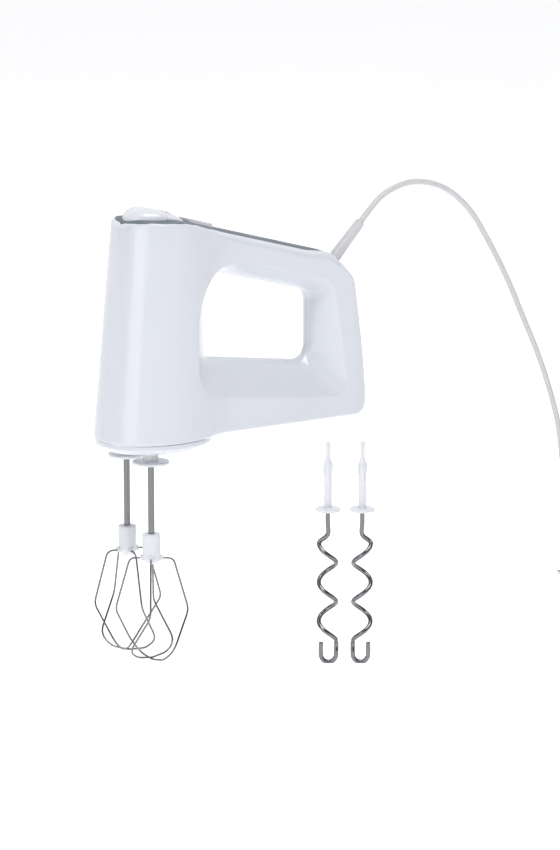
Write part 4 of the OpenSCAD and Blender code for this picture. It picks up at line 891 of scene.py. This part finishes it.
def add_tool_piece(parts, name, slot, body, node, crisp=True):
    """One piece of a whisk or hook from its (points, faces) parts, its edges crisp if asked."""
    pts, faces = joined(parts)
    piece = new_piece(name, in_hand(pts), faces, body, slot, node)
    if crisp:
        sharpen(piece)


def wire_loop(cage, drop):
    """Centreline of one wire loop: out of the hub, down to the widest point, down while it swings
    round the axis, in to the middle, lowered by drop, and its half-turned copy back up."""
    w = 17.5
    half = bent_path([[4.35, 0, 0], [0.59 * cage, 0, 0], [cage, 0, -0.505 * CAGE_H],
                      [0.6 * cage, -w, -0.875 * CAGE_H],
                      [0.3 * cage, -0.62 * w, -0.975 * CAGE_H - drop],
                      [0, 0, -CAGE_H - drop]], [4.5, 5, 8, 4], 9)
    back = half[-2::-1] * np.array([-1, -1, 1])
    return resample(np.concatenate([half, back]), 170)


def resample(path, count):
    """The same path with points at equal lengths along it."""
    s = np.concatenate([[0], np.cumsum(np.linalg.norm(np.diff(path, axis=0), axis=1))])
    t = np.linspace(0, s[-1], count)
    return np.stack([np.interp(t, s, path[:, i]) for i in range(3)], 1)


def turned(points, degrees, mirror=1):
    """Points turned about the vertical axis, after mirroring across y if asked."""
    a = math.radians(degrees)
    p = np.asarray(points) * np.array([1, mirror, 1])
    return p @ np.array([[math.cos(a), math.sin(a), 0], [-math.sin(a), math.cos(a), 0], [0, 0, 1]])


def hub_parts(at, turn, mirror):
    """A whisk's hub and its four wire sockets, a quarter turn apart."""
    profile = rounded_profile([(AXIS, ARM_Z - 4.5), (4.6, ARM_Z - 4.5), (7.35, ARM_Z - 0.4),
                               (7.35, ROD_END), (AXIS, ROD_END)], 1.5)
    socket = rounded_profile([(AXIS, 5), (2.9, 5), (2.25, 9.4), (1.0, 9.4), (AXIS, 9.4)], 0.35)
    axes = (turned([1, 0, 0], turn + 90 * k, mirror) for k in range(4))
    return [lathe(profile, at, steps=72)] + [lathe(socket, at + [0, 0, ARM_Z + 0.3], axis, 28)
                                             for axis in axes]


def loop_parts(at, turn, mirror, cage, wire):
    """A whisk's two wire loops, a quarter turn apart, the first one's foot raised by a wire's
    width and 0.1 mm, so that it crosses over the other."""
    parts = []
    for spin, drop in ((0, -2 * wire - 0.1), (90, 0)):
        path = wire_loop(cage, drop)
        away = np.cross(np.gradient(path, axis=0), path - np.array([0, 0, -45.0]))
        line = turned(path, turn + spin, mirror) + at + [0, 0, ARM_Z]
        parts.append(tube(line, wire, 14, turned(away, turn + spin, mirror)))
    return parts


class MIXER_OT_whisks(bpy.types.Operator):
    """Builds both whisks: shank and disc, rod, hub with wire sockets, and crossed wire loops."""
    bl_idname = "mixer.whisks"
    bl_label = "Whisks"

    def execute(self, context):
        s = context.scene.mixer_tools
        rod = [(AXIS, ROD_END - 19.9), (2.58, ROD_END - 19.9), (2.58, DISC_LOW), (AXIS, DISC_LOW)]
        for side, y, turn, mirror in (("left", -SPINDLE_Y, LEFT_TURN, 1),
                                      ("right", SPINDLE_Y, 45 - LEFT_TURN, -1)):
            name = side + "_whisk"
            at = np.array([SPINDLE_X, y, 0])
            foot = at + [0, 0, DISC_LOW]
            add_tool_piece([lathe(shank(14.8, 2.5), foot, steps=96)] + ribs(foot),
                           name + "_stem", "white_trim", name, name + "_shank")
            add_tool_piece([lathe(rod, at)], name + "_bar", "chrome", name, name + "_rod")
            add_tool_piece(hub_parts(at, turn, mirror),
                           name + "_boss", "white_trim", name, name + "_hub")
            add_tool_piece(loop_parts(at, turn, mirror, s.cage, s.wire),
                           name + "_loops", "chrome", name, name + "_wires", crisp=False)
        return {"FINISHED"}


# Places of the hooks' axes, in the part's frame, and the hand of each helix.
HOOKS = {"left": ((33.0, -60.0), 1), "right": ((56.0, -76.0), -1)}
# A hook's straight neck, the gaps before and after its helix, the helix, the bend at its foot
# and the turn of the whole rod about its axis.
HOOK_NECK, GAP_ABOVE, GAP_BELOW = 20.0, 7, 12
PITCH, TURNS, COIL_R, BEND_R, HOOK_TURN = 32.7, 2.5, 7.1, 6.2, 145
# Height of the surface that the cord lies on, in the part's frame, and the rod's radius at a
# hook's foot. The top of a hook's disc is 1 mm more than the rod's length above that surface.
FLOOR, FOOT_R, DISC_LIFT = -330.0, 1.9, 1


def hook_line(hand):
    """Centreline of a dough hook's rod below its disc: straight neck, helix of 2.5 turns, then a
    half-turn bend and a short tip beside the rod."""
    top = -HOOK_NECK
    z1 = top - GAP_ABOVE
    a = np.linspace(0, 1, 100)
    helix = np.stack([COIL_R * np.cos(2 * np.pi * TURNS * a), COIL_R * np.sin(2 * np.pi * TURNS * a),
                      z1 - PITCH * TURNS * a], 1)
    x1, zb = -COIL_R, z1 - PITCH * TURNS - GAP_BELOW
    t = np.linspace(0, np.pi, 20)
    bend = np.stack([x1 + BEND_R - BEND_R * np.cos(t), 0 * t, zb - BEND_R * np.sin(t)], 1)
    neck, tip = [[0, 0, 0.4], [0, 0, 0.5 * top], [0, 0, top]], [[x1 + 2 * BEND_R, 0, zb + 10]]
    return np.concatenate([neck, helix, bend, tip]) * np.array([hand, 1, 1])


class MIXER_OT_hooks(bpy.types.Operator):
    """Builds the two dough hooks that stand beside the mixer."""
    bl_idname = "mixer.hooks"
    bl_label = "Dough hooks"

    def execute(self, context):
        r = context.scene.mixer_tools.hook_rod
        length = HOOK_NECK + GAP_ABOVE + PITCH * TURNS + GAP_BELOW + BEND_R + FOOT_R
        for side, (place, hand) in HOOKS.items():
            name = side + "_hook"
            foot = GRIP + np.array([*place, FLOOR + length + DISC_LIFT]) - [0, 0, DISC_H]
            add_tool_piece([lathe(shank(10.2, 0), foot, steps=96)] + ribs(foot),
                           name + "_stem", "white_trim", name, name + "_shank")
            path = turned(resample(smooth_path(hook_line(hand), 4), 360), HOOK_TURN) + foot
            add_tool_piece([tube(path, r, 20, [0.0, 1.0, 0.3])],
                           name + "_bar", "chrome", name, name + "_rod", crisp=False)
        return {"FINISHED"}


# The lead's own points are in the part's frame, millimetres from the grip.
ROUTE = [
    (108.5, 0, 20.6), (114, 0, 26.2), (121, 0, 33), (131, 0, 41), (144, -1, 47), (156, -2, 50),
    (168, -3, 50), (181, -4, 47.5), (194, -6, 42), (205, -8, 34), (214, -10, 25), (222, -12, 14),
    (229, -14, 2), (238, -18, -16), (248, -24, -40), (258, -30, -68), (268, -37, -97),
    (277, -43, -128), (284.5, -48, -162), (287.5, -52, -200), (289, -55, -240), (290, -58, -275),
    (291.2, -60.5, -304), (296, -63.6, -318.5), (303, -68.2, -325.8), (310, -72.8, -327.6),
    (321.7, -80.6, -327.6)]
CORD_D = 4.8
# The stored coil: its middle, the outer turns' radius, the spacing of turns and layers, the
# height of the lowest turn's centre and the direction in which the lead joins it.
COIL = np.array([338.0, -56.0])
COIL_OUT, SPACING, COIL_LOW, COIL_START = 29.7, 4.9, -327.6, 236.5
# The plug: its direction, how far its tail lies from the coil's middle, the height of what it
# lies on, its length and how far its place is from its tail.
PLUG_TURN, PLUG_OUT, PLUG_Z = 120.0, 27, -315.2
PLUG_L, PLUG_BACK = 34, 23


def ease(t, a, b):
    """Nought before a, one after b, and a smooth step between."""
    u = np.clip((t - a) / (b - a), 0, 1)
    return u * u * (3 - 2 * u)


def coil_line():
    """The stored turns, by the number of turns t from where the lead joins: the bottom outer turn
    moves in, the inner one climbs a layer and moves out, the outer one climbs another layer, and
    the end rises off the top into the plug. Neighbouring turns lie 0.1 mm more than a diameter
    apart."""
    t = np.linspace(0, 4.4278, 380)[1:]
    across = SPACING * ease(t, 2.36, 2.54) - 2.7 * ease(t, 4.05, 4.42)
    r = COIL_OUT - SPACING * ease(t, 0.76, 0.94) + across
    up = SPACING * ease(t, 1.54, 1.74) + SPACING * ease(t, 3.13, 3.36)
    z = COIL_LOW + up + 9.35 * ease(t, 4.06, 4.42)
    a = math.radians(COIL_START) + 2 * np.pi * t
    return np.stack([COIL[0] + r * np.cos(a), COIL[1] + r * np.sin(a), z], 1)


def cord_tube(line, straight):
    """The cord as a tube along a line. Its rings are squared to one direction along the free
    stretch of so many points and to the vertical round the coil, with a smooth change between."""
    w = ease(np.arange(len(line)), straight - 60, straight - 5)[:, None]
    reference = np.array([0.25, 1.0, 0.15]) * (1 - w) + np.array([0, 0, 1.0]) * w
    return tube(line / 1000, CORD_D / 2000, 16, reference)


def plug_rings():
    """The plug: rings along its length whose half width and half height follow a smooth waist,
    each a superellipse of power 0.6 in its sine and cosine."""
    s = np.array([0, 0.03, 0.15, 0.3, 0.42, 0.5, 0.58, 0.66, 0.75, 0.85, 0.93, 0.98, 1.0, 1.0])
    wide = 17.4 * np.array([0.2, 0.26, 0.31, 0.40, 0.56, 0.72, 0.86, 0.95, 0.985, 1, 0.985, 0.955,
                            0.90, 0.6])
    tall = 6.7 * np.array([0.5, 0.6, 0.68, 0.78, 0.88, 0.94, 0.98, 1, 1, 1, 0.985, 0.95, 0.86, 0.5])
    a = -np.linspace(0, 2 * np.pi, 48, endpoint=False)
    co, si = (np.sign(v) * np.abs(v) ** 0.6 for v in (np.cos(a), np.sin(a)))
    x = np.repeat((s * PLUG_L - PLUG_BACK)[:, None], len(a), 1)
    rings = np.stack([x, wide[:, None] * co, 6.75 + tall[:, None] * si], -1)
    turn = math.radians(PLUG_TURN)
    way, out = (np.array([math.cos(q), math.sin(q)]) for q in (turn, turn - math.pi / 2))
    return turned(rings, PLUG_TURN) + np.array([*(COIL + PLUG_OUT * out + PLUG_BACK * way), PLUG_Z])


def relief_solid():
    """The strain relief, hollow for the cord: a flange, a taper from 5.15 to 3.87 and a rounded
    lip, turned about the cord's way out, with its last ring joined to its first."""
    h = np.linspace(0, 43.6, 88)
    profile = np.concatenate([[(2.45, -10.9), (7.4, -10.9), (7.4, -9.1), (5.2, -9.0)],
                              np.stack([5.15 - 1.28 * (h / 43.6), h], 1),
                              [(3.7, 44.0), (2.9, 44.1), (2.45, 43.6)]])
    pts, _ = lathe(profile, (169.8, 0, 132), (0.697, 0, 0.717), 56)
    rows, cols = pts.shape[:2]
    return pts, (np.array(grid_faces(rows + 1, cols)) % (rows * cols)).tolist()


class MIXER_OT_lead(bpy.types.Operator):
    """Builds the strain relief, the mains cord with its stored turns, and the plug."""
    bl_idname = "mixer.lead"
    bl_label = "Cord and plug"

    def execute(self, context):
        start = smooth_path(ROUTE, 7)
        line = np.concatenate([start, coil_line()])
        # The cord starts 6 mm inside the strain relief.
        first = (start[1] - start[0]) / np.linalg.norm(start[1] - start[0])
        line = np.concatenate([[line[0] - first * 6], line])
        pts, faces = cord_tube(line, len(start))
        cord = new_piece("mains_lead", pts, faces, "body", "cord_pvc", "mains_cord", "cord_coil")
        rings = plug_rings()
        plug = new_piece("two_pin_plug", rings / 1000, closed_rings(rings), "body", "cord_pvc",
                         "plug_body")
        sharpen(plug, 50)
        pts, faces = relief_solid()
        piece = new_piece("flex_guard", in_hand(pts), faces, "body", "cord_pvc", "strain_relief")
        sharpen(piece, 45)
        return {"FINISHED"}


# The direction of view in plan: the floor rises and the sky is white on its far side.
VIEW_TURN = math.radians(-35)
VIEW_PLAN = (-math.sin(VIEW_TURN), math.cos(VIEW_TURN))


def add_floor(scene):
    """A pale sheet 18 m across that sweeps up behind as the square of the distance past 2.5 m."""
    mesh = bpy.data.meshes.new("studio_floor")
    u = np.linspace(-1, 1, 41)
    X, Y = np.meshgrid(u * 9, u * 9, indexing="ij")
    back = np.clip(X * VIEW_PLAN[0] + Y * VIEW_PLAN[1] - 2.5, 0, None)
    pts = np.stack([X, Y, -0.3302 + 0.12 * back ** 2], -1).reshape(-1, 3)
    mesh.from_pydata(pts.tolist(), [], grid_faces(41, 41, False))
    if mesh.polygons[0].normal.z < 0:
        mesh.flip_normals()
    mesh.polygons.foreach_set("use_smooth", np.ones(len(mesh.polygons), bool))
    floor = bpy.data.objects.new("studio_floor", mesh)
    scene.collection.objects.link(floor)
    mat, tree, bsdf = material("pale_floor", (0.8, 0.8, 0.8), 0.9)
    vary(tree, bsdf, add_noise(tree, 2, 2), (0.79, 0.79, 0.79), (0.81, 0.81, 0.81), "Base Color")
    bsdf.inputs["Emission Color"].default_value = (1, 1, 1, 1)
    bsdf.inputs["Emission Strength"].default_value = 0.62
    mesh.materials.append(mat)


def add_sky(scene):
    """White behind the mixer, falling to a soft grey on the near side, by direction in the world."""
    world = bpy.data.worlds.new("soft_studio")
    scene.world = world
    world.use_nodes = True
    tree = world.node_tree
    coord = tree.nodes.new("ShaderNodeTexCoord")
    dot = tree.nodes.new("ShaderNodeVectorMath")
    dot.operation = "DOT_PRODUCT"
    dot.inputs[1].default_value = (*VIEW_PLAN, 0)
    ramp = tree.nodes.new("ShaderNodeValToRGB")
    near, far = ramp.color_ramp.elements
    near.position, near.color = 0.1, (0.16, 0.165, 0.18, 1)
    far.position, far.color = 0.7, (1, 1, 1, 1)
    tree.links.new(coord.outputs["Generated"], dot.inputs[0])
    tree.links.new(dot.outputs["Value"], ramp.inputs["Fac"])
    tree.links.new(ramp.outputs["Color"], tree.nodes["Background"].inputs["Color"])
    tree.nodes["Background"].inputs["Strength"].default_value = 1.25


def add_lamp(scene, name, place, look, size, power):
    """A soft rectangular lamp at a place in metres, turned to look at a point."""
    lamp = bpy.data.lights.new(name, "AREA")
    lamp.shape, lamp.size, lamp.size_y, lamp.energy = "RECTANGLE", size[0], size[1], power
    ob = bpy.data.objects.new(name, lamp)
    scene.collection.objects.link(ob)
    ob.location = place
    v = np.array(look, float) - np.array(place)
    tilt, spin = math.acos(-v[2] / np.linalg.norm(v)), math.atan2(v[1], v[0]) - math.pi / 2
    ob.rotation_euler = (tilt, 0, spin)


def add_camera(scene):
    """The camera, ahead and to the left of the mixer and slightly above it, with a long lens."""
    cam = bpy.data.cameras.new("view")
    cam.lens, cam.sensor_width, cam.sensor_fit = 134.9, 36, "AUTO"
    cam.clip_end = 60
    ob = bpy.data.objects.new("view", cam)
    scene.collection.objects.link(ob)
    ob.location = (-1.4417, -2.0985, 0.3873)
    ob.rotation_euler = (math.radians(78.35), 0, VIEW_TURN)
    scene.camera = ob


class MIXER_OT_stage(bpy.types.Operator):
    """Lays a plain pale floor, sets soft lights and places the camera."""
    bl_idname = "mixer.stage"
    bl_label = "Stage"

    def execute(self, context):
        scene = context.scene
        add_floor(scene)
        add_sky(scene)
        scene.view_settings.view_transform = "Standard"
        add_lamp(scene, "key", (-2.1, -0.75, 0.6), (-0.1, 0, 0), (1.5, 1.8), 15)
        add_lamp(scene, "top", (-0.2, -0.75, 1.9), (0, 0, 0), (1.6, 1.0), 30)
        add_lamp(scene, "fill", (0.9, -2.2, 0.5), (0, 0, 0), (1.0, 1.4), 2)
        add_camera(scene)
        return {"FINISHED"}


class MIXER_PT_panel(bpy.types.Panel):
    """Lists the mixer's sizes, colours and building steps in the 3D view's sidebar."""
    bl_idname = "MIXER_PT_panel"
    bl_label = "Hand mixer"
    bl_space_type = "VIEW_3D"
    bl_region_type = "UI"
    bl_category = "Mixer"

    def draw(self, context):
        for group in (context.scene.mixer_body, context.scene.mixer_tools):
            for key in group.__annotations__:
                self.layout.prop(group, key)
        for step in STEPS:
            self.layout.operator(step.bl_idname)


STEPS = (MIXER_OT_materials, MIXER_OT_shells, MIXER_OT_panel, MIXER_OT_controls, MIXER_OT_base,
         MIXER_OT_whisks, MIXER_OT_hooks, MIXER_OT_lead, MIXER_OT_stage)
CLASSES = (MixerBody, MixerTools) + STEPS + (MIXER_PT_panel,)


def register():
    for cls in CLASSES:
        bpy.utils.register_class(cls)
    bpy.types.Scene.mixer_body = bpy.props.PointerProperty(type=MixerBody)
    bpy.types.Scene.mixer_tools = bpy.props.PointerProperty(type=MixerTools)


def unregister():
    del bpy.types.Scene.mixer_tools
    del bpy.types.Scene.mixer_body
    for cls in reversed(CLASSES):
        bpy.utils.unregister_class(cls)


def main():
    """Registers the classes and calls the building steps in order."""
    register()
    for step in STEPS:
        area, _, call = step.bl_idname.partition(".")
        getattr(getattr(bpy.ops, area), call)()


if __name__ == "__main__":
    main()
